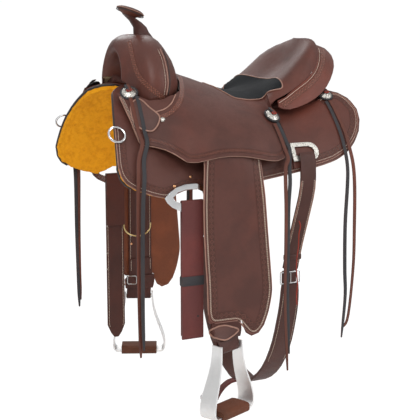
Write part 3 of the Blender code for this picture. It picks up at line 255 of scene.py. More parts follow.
def leather(name, base, rough=0.46, grain=1.0, blotch=0.55, backing=None, backSide=0):
    f = Finish(name, rough)
    cloud = f.noise(hide["stain"], 5, 0.6)
    fine = f.noise(140, 5, 0.7)
    dark = shade(base, 0.62)
    glow = tuple(min(1, c * k) for c, k in zip(base, (1.75, 1.3, 1.1)))
    color = f.blend(cloud.step(0.38, 0.68) * blotch, base, dark)
    color = f.blend(f.noise(7, 3, 0.5).step(0.46, 0.7) * 0.42, color, glow)
    color = f.blend(fine.step(0.45, 0.75) * 0.22, color, dark)
    pores = f.cells(hide["grain"]).step(0.0, 0.12)
    crease = f.noise(42, 3, 0.5, f.stretched(0.35))
    height = pores * 0.35 + fine * 0.5 + crease * 0.6
    if backing:
        # the flesh side, by the way the surface faces
        facing = f.axis(f.add("ShaderNodeNewGeometry", output="Normal"), "Y") * backSide
        flesh = facing.step(0.05, 0.3)
        nap = f.noise(300, 6, 0.8)
        fuzz = f.blend(nap.step(0.3, 0.75) * 0.55, backing, shade(backing, 0.55))
        fuzz = f.blend(f.noise(16, 4, 0.6).step(0.45, 0.7) * 0.5, fuzz, shade(backing, 1.35))
        color = f.blend(flesh, color, fuzz)
        f.paint(roughness=flesh * 0.4 + (1 - flesh) * rough)
        height = height * (1 - flesh) + nap * flesh * 2.2
    else:
        f.paint(roughness=fine * 0.16 + cloud * 0.1 + (rough - 0.12))
    f.paint(color=color, gloss=0.34)
    f.relief(height, 0.00035 * grain, 0.55)
    return f.material


def tooled(name, base, motif):
    # a stamped border: U counts stamps along it and V runs across it
    f = Finish(name, 0.45)
    uv = f.add("ShaderNodeUVMap", None, None, "UV")
    u, v = f.axis(uv, "X"), f.axis(uv, "Y")
    along = abs(u.fraction() - 0.5) * 2
    across = abs(v - 0.5) * 2
    if motif == "diamond":
        reach = along + across * 1.15
        ridge = 1 - abs(reach - 0.82).step(0.06, 0.2)
        seed = 1 - reach.step(0.18, 0.34)
    elif motif == "leaf":
        vine = abs((v - 0.5) * 3.4 - (u * (2 * math.pi)).sine())
        ridge = 1 - vine.step(0.16, 0.5)
        seed = (1 - abs(along - 0.5).step(0.1, 0.3)) * across.step(0.25, 0.5)
    else:
        ridge = 1 - abs(along - 0.55).step(0.12, 0.36)
        seed = 1 - abs(v - 0.5).step(0.05, 0.12)
    inside = 1 - across.step(0.76, 0.82)
    line = 1 - abs(across - 0.9).step(0.03, 0.08)
    raised = (ridge + seed * 0.8) * inside
    cloud = f.noise(hide["stain"], 5, 0.6)
    fine = f.noise(160, 5, 0.7)
    dark = shade(base, 0.3)
    light = shade(base, 1.6)
    color = f.blend(cloud.step(0.38, 0.68) * 0.4, base, shade(base, 0.7))
    color = f.blend(inside * (1 - raised.step(0.2, 0.8)) * 0.75, color, dark)
    color = f.blend(raised.step(0.55, 1.0) * 0.45, color, light)
    color = f.blend(line * 0.7, color, dark)
    f.paint(color=color, roughness=fine * 0.2 + 0.34, gloss=0.42)
    f.relief(raised - line * 0.8 + fine * 0.15, 0.0012, 1.0)
    return f.material


def cutEdge(name, base):
    f = Finish(name, 0.5)
    layers = f.noise(90, 5, 0.65)
    color = f.blend(layers.step(0.3, 0.75) * 0.6, base, shade(base, 0.6))
    f.paint(color=color, roughness=layers * 0.2 + 0.4)
    f.relief(layers, 0.0003, 0.5)
    return f.material


def threadFinish():
    f = Finish("waxedThread", 0.55)
    twist = f.noise(900, 3, 0.6)
    f.paint(color=f.blend(twist.step(0.3, 0.7) * 0.4, hide["thread"], shade(hide["thread"], 0.55)),
            roughness=twist * 0.2 + 0.45)
    f.relief(twist, 0.0002, 0.6)
    return f.material


def suedeFinish():
    f = Finish("blackSuede", 0.92)
    nap = f.noise(420, 6, 0.85)
    brushed = f.noise(24, 4, 0.6)
    color = f.blend(nap.step(0.35, 0.75) * 0.5, hide["suede"], shade(hide["suede"], 0.45))
    color = f.blend(brushed.step(0.5, 0.75) * 0.35, color, shade(hide["suede"], 1.9))
    f.paint(color=color, roughness=nap * 0.1 + 0.85, gloss=0.2)
    f.relief(nap, 0.0005, 0.7)
    return f.material


def rawhideFinish():
    f = Finish("rawhide", 0.5)
    veins = f.cells(34)
    cloud = f.noise(18, 6, 0.65)
    color = f.blend(cloud.step(0.35, 0.7) * 0.5, hide["rawhide"], rgb(176, 148, 108))
    color = f.blend((1 - veins.step(0.0, 0.05)) * 0.25, color, rgb(150, 120, 84))
    f.paint(color=color, roughness=cloud * 0.25 + 0.35)
    f.relief(cloud + veins * 0.3, 0.0008, 0.5)
    return f.material


wool = {
    "gold": rgb(233, 160, 30),
    "amber": rgb(196, 118, 12),
    "straw": rgb(244, 186, 66),
}


def woolFinish():
    f = Finish("goldenWool", 0.95)
    lock = f.noise(70, 6, 0.75)
    fibre = f.noise(520, 5, 0.8)
    patch = f.noise(11, 4, 0.6)
    color = f.blend(lock.step(0.42, 0.7) * 0.6, wool["gold"], wool["amber"])
    color = f.blend(fibre.step(0.5, 0.8) * 0.4, color, wool["straw"])
    color = f.blend(patch.step(0.52, 0.75) * 0.35, color, wool["amber"])
    f.paint(color=color, roughness=fibre * 0.1 + 0.88, gloss=0.15)
    f.relief(lock * 1.6 + fibre * 0.7, 0.0016, 0.9)
    return f.material


# Metal

def metal(name, base, rough, brushed=0.0, tarnish=0.0, engraved=0.0):
    f = Finish(name, rough, 1.0)
    scratch = f.noise(700, 3, 0.6, f.stretched(0.06))
    smear = f.noise(22, 4, 0.6)
    color = f.blend(smear.step(0.45, 0.75) * 0.22, base, shade(base, 0.7))
    height = scratch * brushed
    if tarnish:
        soot = f.noise(160, 6, 0.7)
        color = f.blend(soot.step(0.5, 0.7) * tarnish, color, shade(base, 0.2))
    if engraved:
        # fine scrolls cut into the surface
        swirl = f.add("ShaderNodeTexWave", {"wave_type": "RINGS", "rings_direction": "SPHERICAL"},
                      {"Vector": f.place(), "Scale": 70.0, "Distortion": 14.0, "Detail": 2.0,
                       "Detail Scale": 2.2}, "Fac")
        cut = 1 - swirl.step(0.12, 0.4)
        color = f.blend(cut * engraved * 0.75, color, shade(base, 0.16))
        height = height - cut * engraved * 3
    f.paint(color=color, roughness=smear * 0.12 + scratch * 0.08 * brushed + (rough - 0.05))
    f.relief(height, 0.00012, 0.6)
    return f.material


print("building finishes")
finishes = {
    "skirt": leather("skirtLeather", hide["brown"]),
    "seat": leather("seatLeather", hide["brown"], 0.58, 0.8, 0.7),
    "fork": leather("forkLeather", hide["brown"], 0.4, 0.8, 0.6),
    "jockey": leather("jockeyLeather", rgb(90, 49, 40)),
    "roll": leather("rollLeather", rgb(96, 52, 42), 0.48),
    "horn": leather("hornLeather", hide["strap"], 0.42),
    "strap": leather("strapLeather", hide["strap"], 0.45),
    "latigo": leather("latigoLeather", hide["burgundy"], 0.5, 0.7, 0.35),
    "tread": leather("treadLeather", hide["tread"], 0.75, 1.6),
    "cap": leather("hornCapLeather", rgb(78, 46, 40), 0.42),
    "capUnder": leather("hornCapUnderside", rgb(96, 50, 36), 0.6),
    "patch": leather("tabLeather", rgb(82, 52, 46), 0.48),
    "charcoal": leather("charcoalLeather", hide["charcoal"], 0.7, 0.8, 0.3),
    "russet": leather("russetLeather", hide["russet"], 0.6, 0.8, 0.3),
    "lace": leather("redLace", rgb(140, 44, 28), 0.5, 0.6, 0.2),
    "band": tooled("tooledBand", rgb(104, 58, 46), "diamond"),
    "vine": tooled("tooledVine", rgb(132, 78, 62), "leaf"),
    "beads": tooled("tooledBeads", rgb(104, 58, 46), "bars"),
    "edge": cutEdge("leatherEdge", hide["edge"]),
    "darkEdge": cutEdge("darkEdge", rgb(34, 27, 26)),
    "thread": threadFinish(),
    "suede": suedeFinish(),
    "rawhide": rawhideFinish(),
    "wool": woolFinish(),
    "chrome": metal("polishedSteel", (0.72, 0.72, 0.73), 0.14),
    "steel": metal("plainSteel", (0.55, 0.54, 0.53), 0.3, 0.4),
    "aluminium": metal("brushedAluminium", (0.88, 0.88, 0.88), 0.42, 1.0),
    "silver": metal("engravedSilver", (0.64, 0.62, 0.57), 0.28, 0.3, 0.35, 0.8),
    "brass": metal("wornBrass", (0.70, 0.55, 0.26), 0.3, 0.3, 0.3),
    "copper": metal("copper", (0.85, 0.45, 0.22), 0.28, 0.2, 0.15),
}
for word, side in sides.items():
    finishes[word + "Fender"] = leather(word + "FenderLeather", hide["brown"], 0.45, 0.9, 0.6,
                                        backing=hide["rough"], backSide=-side)


# Finding places on the CAD leathers

trees = {}


def tree(node):
    if node not in trees:
        mesh = nodes[node].data
        trees[node] = BVHTree.FromPolygons([v.co for v in mesh.vertices],
                                           [p.vertices[:] for p in mesh.polygons])
    return trees[node]


def land(node, point, outward, height=0.03):
    # the point of a leather under one that hovers over it
    hit, normal, _, _ = tree(node).ray_cast(point + outward * height, -outward, height * 2.5)
    if hit is None:
        return point, outward
    return hit, normal if normal.dot(outward) > 0 else -normal


def seen(node, x, y):
    # the place on a piece that shows at a pixel of the photograph
    start, way = photoRay(x, y)
    hit, normal, _, _ = tree(node).ray_cast(start, way, 6)
    if hit is None:
        found = tree(node).find_nearest(start + way * (viewpoint["distance"] - 0.1))
        hit, normal = found[0], found[1]
    return hit, normal if normal.dot(way) < 0 else -normal


def curve(points, count, closed=False):
    points = [Vector(p) for p in points]
    n = len(points)
    line = []
    for k in range(count):
        t = k * n / count if closed else k * (n - 1) / (count - 1)
        i = int(t) if closed else min(int(t), n - 2)
        f = t - i
        if closed:
            a, b, c, d = (points[(i + j) % n] for j in (-1, 0, 1, 2))
        else:
            b, c = points[i], points[i + 1]
            a = points[i - 1] if i else 2 * b - c
            d = points[i + 2] if i + 2 < n else 2 * c - b
        line.append(0.5 * (2 * b + (c - a) * f + (2 * a - 5 * b + 4 * c - d) * f ** 2
                           + (3 * b - a - 3 * c + d) * f ** 3))
    return line


def evened(points, step, closed=False):
    ring = points + points[:1] if closed else points
    runs = [0.0]
    for a, b in zip(ring, ring[1:]):
        runs.append(runs[-1] + (b - a).length)
    count = max(3, round(runs[-1] / step))
    result = []
    i = 0
    for k in range(count if closed else count + 1):
        goal = runs[-1] * k / count
        while i < len(ring) - 2 and runs[i + 1] < goal:
            i += 1
        f = (goal - runs[i]) / max(runs[i + 1] - runs[i], 1e-9)
        result.append(ring[i].lerp(ring[i + 1], min(1, f)))
    return result


def softened(points, rounds, closed=False):
    n = len(points)
    for _ in range(rounds):
        points = [points[i] if not closed and i in (0, n - 1) else
                  points[i] * 0.5 + (points[i - 1] + points[(i + 1) % n]) * 0.25 for i in range(n)]
    return points


search = {
    "reach": 0.75,        # how far out an edge is looked for
    "step": 0.006,
    "halvings": 6,
    "inside": 0.0004,     # how far inside the edge the line is laid
    "points": 150,
    "spacing": 0.004,
    "columns": 90,        # places across a strap where its edges are looked for
    "away": 0.6,          # beyond the saddle's widest place
    "ray": 0.62,          # just past the saddle's middle from there
}


def sideOutline(node, side, centre, first, last):
    # a leather's edge as seen square from the side, by its angle about a centre
    def strike(way, r):
        start = Vector((centre[0] + way[0] * r, side * search["away"], centre[1] + way[1] * r))
        return tree(node).ray_cast(start, Vector((0, -side, 0)), search["ray"])[0]

    edge = []
    for k in range(search["points"]):
        a = math.radians(first + (last - first) * k / (search["points"] - 1))
        way = (math.cos(a), math.sin(a))
        r = search["reach"]
        while r > 0 and strike(way, r) is None:
            r -= search["step"]
        low, high = r, r + search["step"]
        for _ in range(search["halvings"]):
            middle = (low + high) / 2
            if strike(way, middle) is None:
                high = middle
            else:
                low = middle
        hit = strike(way, low - search["inside"])
        if hit is not None:
            edge.append(hit)
    return evened(softened(edge, 3), search["spacing"])


# Building pieces

def addPiece(name, points, faces, finish, body, uv=None, smooth=True, slotName=None, second=None,
             secondFaces=()):
    mesh = bpy.data.meshes.new(name)
    mesh.from_pydata([tuple(p) for p in points], [], faces)
    mesh.materials.append(finish)
    if second:
        mesh.materials.append(second)
        for i in secondFaces:
            mesh.polygons[i].material_index = 1
    if uv:
        layer = mesh.uv_layers.new(name="UVMap")
        for loop in mesh.loops:
            layer.data[loop.index].uv = uv[loop.vertex_index]
    mesh.update()
    if smooth:
        mesh.shade_smooth()
        mesh.set_sharp_from_angle(angle=math.radians(50))
    obj = addObject(name, mesh)
    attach(obj, body)
    return obj


def bodyOf(node):
    return nodes[node]["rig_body"]


def slotOf(node):
    return next(s["material_slot"] for s in frame["record"]["subparts"] if s["node"] == node)


def heading(path, i, closed=False):
    # the way a path runs at one of its points
    n = len(path)
    after = path[(i + 1) % n] if closed else path[min(i + 1, n - 1)]
    before = path[i - 1] if closed else path[max(i - 1, 0)]
    return (after - before).normalized()


def circle(count, first=0.0):
    # angles evenly round a turn
    return [first + math.tau * k / count for k in range(count)]


def hoopFaces(rows, n, base=0, closed=False):
    # the faces between rings of n points each
    faces = []
    for i in range(rows if closed else rows - 1):
        a, b = base + i * n, base + (i + 1) % rows * n
        faces += [(a + k, a + (k + 1) % n, b + (k + 1) % n, b + k) for k in range(n)]
    return faces


def domeFaces(rows, n):
    # rings that close on one last point
    last = (rows - 1) * n
    return hoopFaces(rows, n) + [(last + k, last + (k + 1) % n, rows * n) for k in range(n)]


def budFaces(rows, n):
    # rings that open from one first point
    fan = [(0, 1 + k, 1 + (k + 1) % n) for k in range(n)]
    return fan + [(a, d, c, b) for a, b, c, d in hoopFaces(rows, n, 1)]


def facing(points, faces, sample, out):
    # the faces, turned over if a sample of them looks the wrong way
    a, b, c = (points[sample[i]] for i in (0, 1, -1))
    return [f[::-1] for f in faces] if (b - a).cross(c - a).dot(out) < 0 else faces


def addTube(name, path, radius, finish, body, ringSides=8, closed=False, slotName=None):
    points, normal = [], None
    for i, p in enumerate(path):
        tangent = heading(path, i, closed)
        if normal is None:
            normal = tangent.orthogonal().normalized()
        normal = (normal - tangent * normal.dot(tangent)).normalized()
        other = tangent.cross(normal)
        r = radius[i] if isinstance(radius, list) else radius
        points += [p + (normal * math.cos(a) + other * math.sin(a)) * r for a in circle(ringSides)]
    faces = hoopFaces(len(path), ringSides, closed=closed)
    if not closed:
        faces.append(tuple(range(ringSides))[::-1])
        faces.append(tuple(range(len(points) - ringSides, len(points))))
    addPiece(name, points, faces, finish, body, slotName=slotName)


def outwardOf(point):
    # away from the horse
    return Vector((0, point.y, max(0.0, point.z + 0.12) * 0.6)).normalized()


edgeFrame = {
    "inset": 0.008,     # how far in from the edge the leather's way out is taken
    "height": 0.05,
    "around": 3,        # neighbours on both sides that a frame is softened with
}


def frameAlong(node, path, middle):
    # at each point of an edge: the way out of the leather and the way in from the edge
    frames = []
    for i, p in enumerate(path):
        probe = p + (middle - p).normalized() * edgeFrame["inset"]
        out = land(node, probe, outwardOf(p), edgeFrame["height"])[1]
        across = out.cross(heading(path, i)).normalized()
        frames.append((out, -across if across.dot(middle - p) < 0 else across))
    smoothFrames = []
    reach = edgeFrame["around"]
    for i in range(len(path)):
        around = [frames[min(max(j, 0), len(path) - 1)] for j in range(i - reach, i + reach + 1)]
        out = sum((f[0] for f in around), Vector()).normalized()
        across = sum((f[1] for f in around), Vector())
        smoothFrames.append((out, (across - out * across.dot(out)).normalized()))
    return smoothFrames


strip = {"columns": 4, "lift": 0.0005}


def layStrip(name, node, path, frames, near, far, finish, period, lift=strip["lift"], closed=False):
    # a strip of leather that lies on another, between two distances in from its edge
    points, uv = [], []
    run, columns = 0.0, strip["columns"]
    for i, p in enumerate(path):
        out, across = frames[i]
        if i:
            run += (p - path[i - 1]).length
        for j in range(columns + 1):
            share = j / columns
            hit, _ = land(node, p + across * (near + (far - near) * share), out)
            points.append(hit + out * lift)
            uv.append((run / period, share))
    rows = len(path)
    faces = []
    for i in range(rows if closed else rows - 1):
        a, b = i * (columns + 1), (i + 1) % rows * (columns + 1)
        faces += [(a + j, a + j + 1, b + j + 1, b + j) for j in range(columns)]
    faces = facing(points, faces, faces[len(faces) // 2], frames[len(frames) // 2][0])
    addPiece(name, points, faces, finishes[finish], bodyOf(node), uv, slotName=slotOf(node))


stitch = {"pitch": 0.0042, "length": 0.0033, "width": 0.0016, "rise": 0.0008, "lift": 0.0003,
          "jump": 0.02}      # no stitch is laid over a wider jump in its line


def stitchParts(place, along, out, scale, base):
    # one raised stitch, pointed at both ends
    side = out.cross(along).normalized()
    half = stitch["length"] * scale / 2
    width, rise = stitch["width"] * scale, stitch["rise"]
    points = [place - along * half]
    for share, girth in ((-0.45, 0.8), (0.45, 0.8)):
        middle = place + along * (half * 2 * share * 0.8)
        points += [middle + side * width * girth / 2, middle + out * rise * 1.3,
                   middle - side * width * girth / 2, middle - out * rise * 0.4]
    points.append(place + along * half)
    faces = []
    for k in range(4):
        m = (k + 1) % 4
        faces += [(0, 1 + m, 1 + k), (1 + k, 1 + m, 5 + m, 5 + k), (9, 5 + k, 5 + m)]
    return points, [tuple(base + q for q in f) for f in faces]


def stitchRow(name, node, path, frames, inset=0.0, scale=1.0):
    line = [land(node, p + across * inset, out)[0] + out * stitch["lift"]
            for p, (out, across) in zip(path, frames)]
    points, faces = [], []
    run, goal = 0.0, 0.0
    for a, b, (out, _) in zip(line, line[1:], frames):
        gap = (b - a).length
        if gap > stitch["jump"]:
            continue
        while goal < run + gap:
            place = a.lerp(b, (goal - run) / gap)
            made, joins = stitchParts(place, (b - a).normalized(), out, scale, len(points))
            points += made
            faces += joins
            goal += stitch["pitch"] * scale
        run += gap
    addPiece(name, points, faces, finishes["thread"], bodyOf(node), smooth=False)


def mirrored(points):
    return [Vector((p.x, -p.y, p.z)) for p in points]


# Finishes of the carried over CAD pieces

rounding = {"weld": 0.00002, "width": 0.0006, "segments": 2, "angle": math.radians(42)}


def dress(node, finish, second=None, pick=None):
    obj = nodes[node]
    obj.data.materials.clear()
    obj.data.materials.append(finish)
    if second:
        obj.data.materials.append(second)
        for face in obj.data.polygons:
            face.material_index = 1 if pick(face) else 0
    obj.data.shade_smooth()
    if obj.data.attributes.get("custom_normal"):
        obj.data.attributes.remove(obj.data.attributes["custom_normal"])
    joined = obj.modifiers.new("joined", "WELD")
    joined.merge_threshold = rounding["weld"]
    softer = obj.modifiers.new("roundedEdges", "BEVEL")
    softer.width = rounding["width"]
    softer.segments = rounding["segments"]
    softer.limit_method = "ANGLE"
    softer.angle_limit = rounding["angle"]
    even = obj.modifiers.new("evenNormals", "WEIGHTED_NORMAL")
    even.keep_sharp = True


dressing = {
    "skirt": "skirt", "rear_jockey": "jockey", "tree_bar": "strap", "front_rigging_plate": "chrome",
    "rear_rigging_plate": "silver", "front_dee": "chrome", "stirrup_leather": "strap",
    "hobble_strap": "strap", "stirrup": "aluminium", "tread_cover": "tread", "rear_billet": "strap",
    "flank_buckle": "chrome",
}
for word in sides:
    for part, finishName in dressing.items():
        dress(f"{word}_{part}", finishes[finishName])
    dress(word + "_fender", finishes[word + "Fender"])
for node, finishName in {
        "fork": "rawhide", "fork_cover": "fork", "horn": "steel", "horn_wrap": "horn", "seat_leather": "seat",
        "ground_seat": "steel", "cantle_roll": "roll", "cantle_board": "roll", "latigo": "latigo",
        "off_billet": "strap", "flank_cinch": "strap", "connector_strap": "latigo"}.items():
    dress(node, finishes[finishName])
dress("horn_cap", finishes["cap"], finishes["capUnder"], lambda face: face.normal.z < -0.2)
print("CAD pieces dressed")


# Saddle strings

strings = {
    "width": 0.0095,
    "thickness": 0.0024,
    "stations": 44,
    "offShift": 0.022,      # the off front strings hang further back
    "twist": 22,            # degrees, in the loose lower half
    "lean": {"a": 2.1, "b": 0.4},
    "finishes": {"a": ("charcoal", "russet"), "b": ("russet", "charcoal")},
    "routes": {
        ("front", "a"): [
            (-0.2650, 0.1359, 0.0673), (-0.2674, 0.1577, 0.0436), (-0.2691, 0.1786, 0.0169),
            (-0.2696, 0.1945, -0.0067), (-0.2669, 0.2090, -0.0308), (-0.281, 0.222, -0.064),
            (-0.288, 0.2362, -0.105), (-0.2915, 0.2406, -0.17), (-0.292, 0.24, -0.3),
            (-0.2905, 0.24, -0.42), (-0.2885, 0.24, -0.512)],
        ("front", "b"): [
            (-0.2499, 0.1389, 0.0697), (-0.2522, 0.1606, 0.0456), (-0.254, 0.181, 0.0185),
            (-0.2557, 0.1963, -0.0053), (-0.2555, 0.2104, -0.0298), (-0.2695, 0.224, -0.064),
            (-0.2755, 0.24, -0.105), (-0.2815, 0.2448, -0.17), (-0.284, 0.2452, -0.3),
            (-0.2845, 0.2448, -0.42), (-0.283, 0.2446, -0.495)],
        ("middle", "a"): [
            (0.0782, 0.192, -0.0009), (0.0792, 0.2073, -0.0176), (0.0816, 0.2214, -0.038),
            (0.0843, 0.2307, -0.0571), (0.0911, 0.2359, -0.0806), (0.077, 0.249, -0.098),
            (0.07, 0.262, -0.135), (0.0675, 0.27, -0.19), (0.0665, 0.2722, -0.265),
            (0.0665, 0.2722, -0.425), (0.0755, 0.2722, -0.585)],
        ("middle", "b"): [
            (0.0887, 0.1862, 0.0011), (0.0914, 0.1994, -0.0147), (0.094, 0.2109, -0.0311),
            (0.0975, 0.2198, -0.0476), (0.1014, 0.2248, -0.061), (0.0925, 0.24, -0.098),
            (0.084, 0.2585, -0.135), (0.0755, 0.2674, -0.19), (0.0745, 0.2692, -0.265),
            (0.0745, 0.2692, -0.4), (0.081, 0.2692, -0.545)],
        ("rear", "a"): [
            (0.266, 0.1373, 0.0436), (0.267, 0.1661, 0.016), (0.2705, 0.1982, -0.025),
            (0.2715, 0.2198, -0.0636), (0.274, 0.2345, -0.105), (0.278, 0.2372, -0.16),
            (0.2795, 0.2376, -0.25), (0.279, 0.2376, -0.357), (0.267, 0.2376, -0.483),
            (0.249, 0.2376, -0.512)],
        ("rear", "b"): [
            (0.255, 0.1372, 0.0419), (0.2555, 0.166, 0.0146), (0.257, 0.1981, -0.0262),
            (0.2575, 0.2198, -0.0647), (0.257, 0.235, -0.105), (0.256, 0.239, -0.15),
            (0.2505, 0.241, -0.25), (0.252, 0.2412, -0.36), (0.255, 0.2412, -0.43),
            (0.2465, 0.2412, -0.534)],
    },
}


strap = {      # the section in shares of width and thickness, and the points of its first side
    "profile": [(-0.5, -0.25), (-0.42, -0.5), (0, -0.54), (0.42, -0.5), (0.5, -0.25),
                (0.5, 0.25), (0.42, 0.5), (0, 0.54), (-0.42, 0.5), (-0.5, 0.25)],
    "front": range(5, 9),
}


def strapParts(path, across, widths, thickness):
    # a flat strap with softly rounded edges: points, faces, and the faces of its first side
    points, n = [], len(strap["profile"])
    for i, p in enumerate(path):
        tangent = heading(path, i)
        wide = (across[i] - tangent * across[i].dot(tangent)).normalized()
        normal = tangent.cross(wide)
        points += [p + wide * a * widths[i] + normal * b * thickness for a, b in strap["profile"]]
    faces = hoopFaces(len(path), n)
    front = {i for i in range(len(faces)) if i % n in strap["front"]}
    faces += [tuple(range(n))[::-1], tuple(range(len(points) - n, len(points)))]
    return points, faces, front


def makeString(word, side, place, letter, route):
    line = [Vector(p) for p in route]
    if side == 1 and place == "front":
        for i in range(5, len(line)):
            line[i].x += strings["offShift"] * min(1, (i - 4) / 3)
            line[i].y += 0.0035 if i > 5 else 0.0012
    path = curve([Vector((p.x, side * p.y, p.z)) for p in line], strings["stations"])
    across, widths = [], []
    for i in range(len(path)):
        share = i / (len(path) - 1)
        loose = max(0.0, share - 0.5) * 2
        turn = math.radians(strings["twist"]) * loose * math.sin(7 * share + strings["lean"][letter])
        across.append(Vector((math.cos(turn), math.sin(turn), 0)))
        widths.append(strings["width"] * (1 - 0.55 * max(0.0, (share - 0.965) / 0.035)))
    points, faces, front = strapParts(path, across, widths, strings["thickness"])
    outer, inner = [finishes[finish] for finish in strings["finishes"][letter]]
    backs = [i for i in range(len(faces)) if (i not in front) == (side == 1)]
    obj = addPiece(f"{word}{place.title()}String{letter.upper()}", points, faces, outer, "saddle",
                   second=inner, secondFaces=backs, slotName="string_leather")
    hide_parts(f"{word}_{place}_string_{letter}")
    length = sum((b - a).length for a, b in zip(path, path[1:]))
    tuple(path[0])
    [tuple(p) for p in path]
    return length


print("string lengths", [round(makeString(word, side, place, letter, route), 3)
                         for (place, letter), route in strings["routes"].items()
                         for word, side in sides.items()])


# Fleece linings

fleece = {
    "cuts": 5,
    "curl": 0.0016,
    "grain": 110.0,       # curls to the metre
    "lump": 0.0010,
    "lumpGrain": 26,
    "fill": 0.5,
    "binding": 0.0034,
    "bound": {"centre": (0.0, 0.02), "first": 163, "last": 206},
}


def makeFleece(word):
    work = bmesh.new()
    work.from_mesh(nodes[word + "_fleece"].data)
    bmesh.ops.remove_doubles(work, verts=work.verts, dist=0.0001)
    bmesh.ops.subdivide_edges(work, edges=work.edges[:], cuts=fleece["cuts"], use_grid_fill=True)
    work.normal_update()
    outs = [v.normal.copy() for v in work.verts]
    for v, out in zip(work.verts, outs):
        curl = noise.noise(v.co * fleece["grain"]) + 0.6 * noise.noise(v.co * fleece["grain"] * 2.3)
        lump = noise.noise(v.co * fleece["lumpGrain"])
        inner = max(0.0, -out.z - out.y * (1 if v.co.y > 0 else -1) + 0.6)
        v.co += out * (curl * fleece["curl"] * min(1, inner) + lump * fleece["lump"] * min(1, inner))
    mesh = bpy.data.meshes.new(word + "Fleece")
    work.to_mesh(mesh)
    work.free()
    mesh.materials.clear()
    mesh.materials.append(finishes["wool"])
    mesh.shade_smooth()
    obj = addObject(word + "Fleece", mesh)
    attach(obj, "saddle")
    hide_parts(word + "_fleece")


def bindFleece(word, side):
    # a dark binding on the front edge of the lining
    edge = sideOutline(word + "_fleece", side, **fleece["bound"])
    if len(edge) > 3:
        addTube(word + "Binding", edge, fleece["binding"], finishes["darkEdge"], "saddle",
                slotName="skirt_leather")


for word, side in sides.items():
    makeFleece(word)
    bindFleece(word, side)
print("fleece made")


# Conchos and their rosettes

concho = {
    "radius": 0.0170,
    "rosette": 0.0212,
    "scallops": 16,
    "profile": [(0.16, 0.0071), (0.34, 0.0066), (0.46, 0.0060), (0.50, 0.0054), (0.56, 0.0058),
                (0.70, 0.0046), (0.82, 0.0034), (0.88, 0.0024), (0.94, 0.0028), (1.0, 0.0018), (1.0, 0.0004)],
    "flute": 0.0007,        # how high each scallop swells
    "notch": 0.035,         # how deep the rim is cut between two scallops
    "rosetteNotch": 0.07,
    "top": 0.0072,
    "rosetteRings": [(0.94, 0.0012), (1.0, 0.0010), (1.0, -0.0016)],
    "places": {     # centre and outward way on the off side
        "front": ((-0.2619, 0.1207, 0.0772), (-0.2421, 0.6353, 0.7334)),
        "middle": ((0.0808, 0.1753, 0.0165), (0.16, 0.6302, 0.7598)),
        "rear": ((0.262, 0.12, 0.0575), (0.0, 0.5903, 0.8072)),
    },
}


def turnedFrame(centre, out):
    across = Vector((1, 0, 0))
    across = (across - out * across.dot(out)).normalized()
    return Matrix.Translation(centre) @ Matrix((across, out.cross(across), out)).transposed().to_4x4()


def roundPoints(base, centreHeight, rings):
    # a centre point and rings round it, in the frame of a concho
    points = [base @ Vector((0, 0, centreHeight))]
    for ring in rings:
        points += [base @ Vector((math.cos(a) * r, math.sin(a) * r, h)) for a, r, h in ring]
    return points


def makeConcho(word, side, place, centre, out):
    base = turnedFrame(Vector((centre[0], side * centre[1], centre[2])),
                       Vector((out[0], side * out[1], out[2])).normalized())
    steps = concho["scallops"] * 4

    def petal(a):
        return abs(math.sin(a * concho["scallops"] / 2))

    rings = []
    for r, h in concho["profile"]:
        rings.append([(a, r * (1 - concho["notch"] * (1 - petal(a)) if r > 0.9 else 1) * concho["radius"],
                       h + (concho["flute"] * petal(a) if 0.5 < r < 0.9 else 0.0)) for a in circle(steps)])
    name = f"{word}{place.title()}Concho"
    obj = addPiece(name, roundPoints(base, concho["top"], rings), budFaces(len(rings), steps),
                   finishes["silver"], "saddle", slotName="concho_silver")
    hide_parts(f"{word}_{place}_concho")
    angles = circle(steps, math.pi / steps)
    rings = [[(a, concho["rosette"] * share * (1 - concho["rosetteNotch"] * (1 - petal(a))), level)
              for a in angles] for share, level in concho["rosetteRings"]]
    addPiece(name + "Rosette", roundPoints(base, 0.0003, rings), budFaces(len(rings), steps),
             finishes["charcoal"], "saddle", slotName="jockey_leather")
    makeKnot(word, place, base, side)


knot = {
    "strands": (("A", -0.0035, "charcoal"), ("B", 0.0045, "russet")),
    "route": [(-0.002, 0.0065), (0.0015, 0.0098), (0.007, 0.0094), (0.0125, 0.0078), (0.0175, 0.0056),
              (0.0215, 0.0050)],
    "stations": 12,
    "width": 0.0078,
    "thickness": 0.0022,
    "lace": 0.0013,
}


def makeKnot(word, place, base, side):
    # the strings come out through the dome's middle and bend down over its rim
    count = knot["stations"]
    wide = (base.to_3x3() @ Vector((1, 0, 0))).normalized()
    for letter, shift, finish in knot["strands"]:
        path = curve([base @ Vector((shift * 0.5, -side * a, h)) for a, h in knot["route"]], count)
        points, faces, _ = strapParts(path, [wide] * count, [knot["width"]] * count, knot["thickness"])
        addPiece(f"{word}{place.title()}Knot{letter}", points, faces, finishes[finish], "saddle",
                 slotName="string_leather")
    loop = [base @ Vector((0.0062 * math.cos(a), 0.0028 * math.sin(a) + side * 0.001, 0.0098))
            for a in circle(14)]
    addTube(f"{word}{place.title()}Lace", loop, knot["lace"], finishes["lace"], "saddle", 6, True,
            "string_leather")


for word, side in sides.items():
    for place, (centre, out) in concho["places"].items():
        makeConcho(word, side, place, centre, out)
print("conchos made")


# Borders on the leathers: a light cut edge, a row of stitches and a tooled band

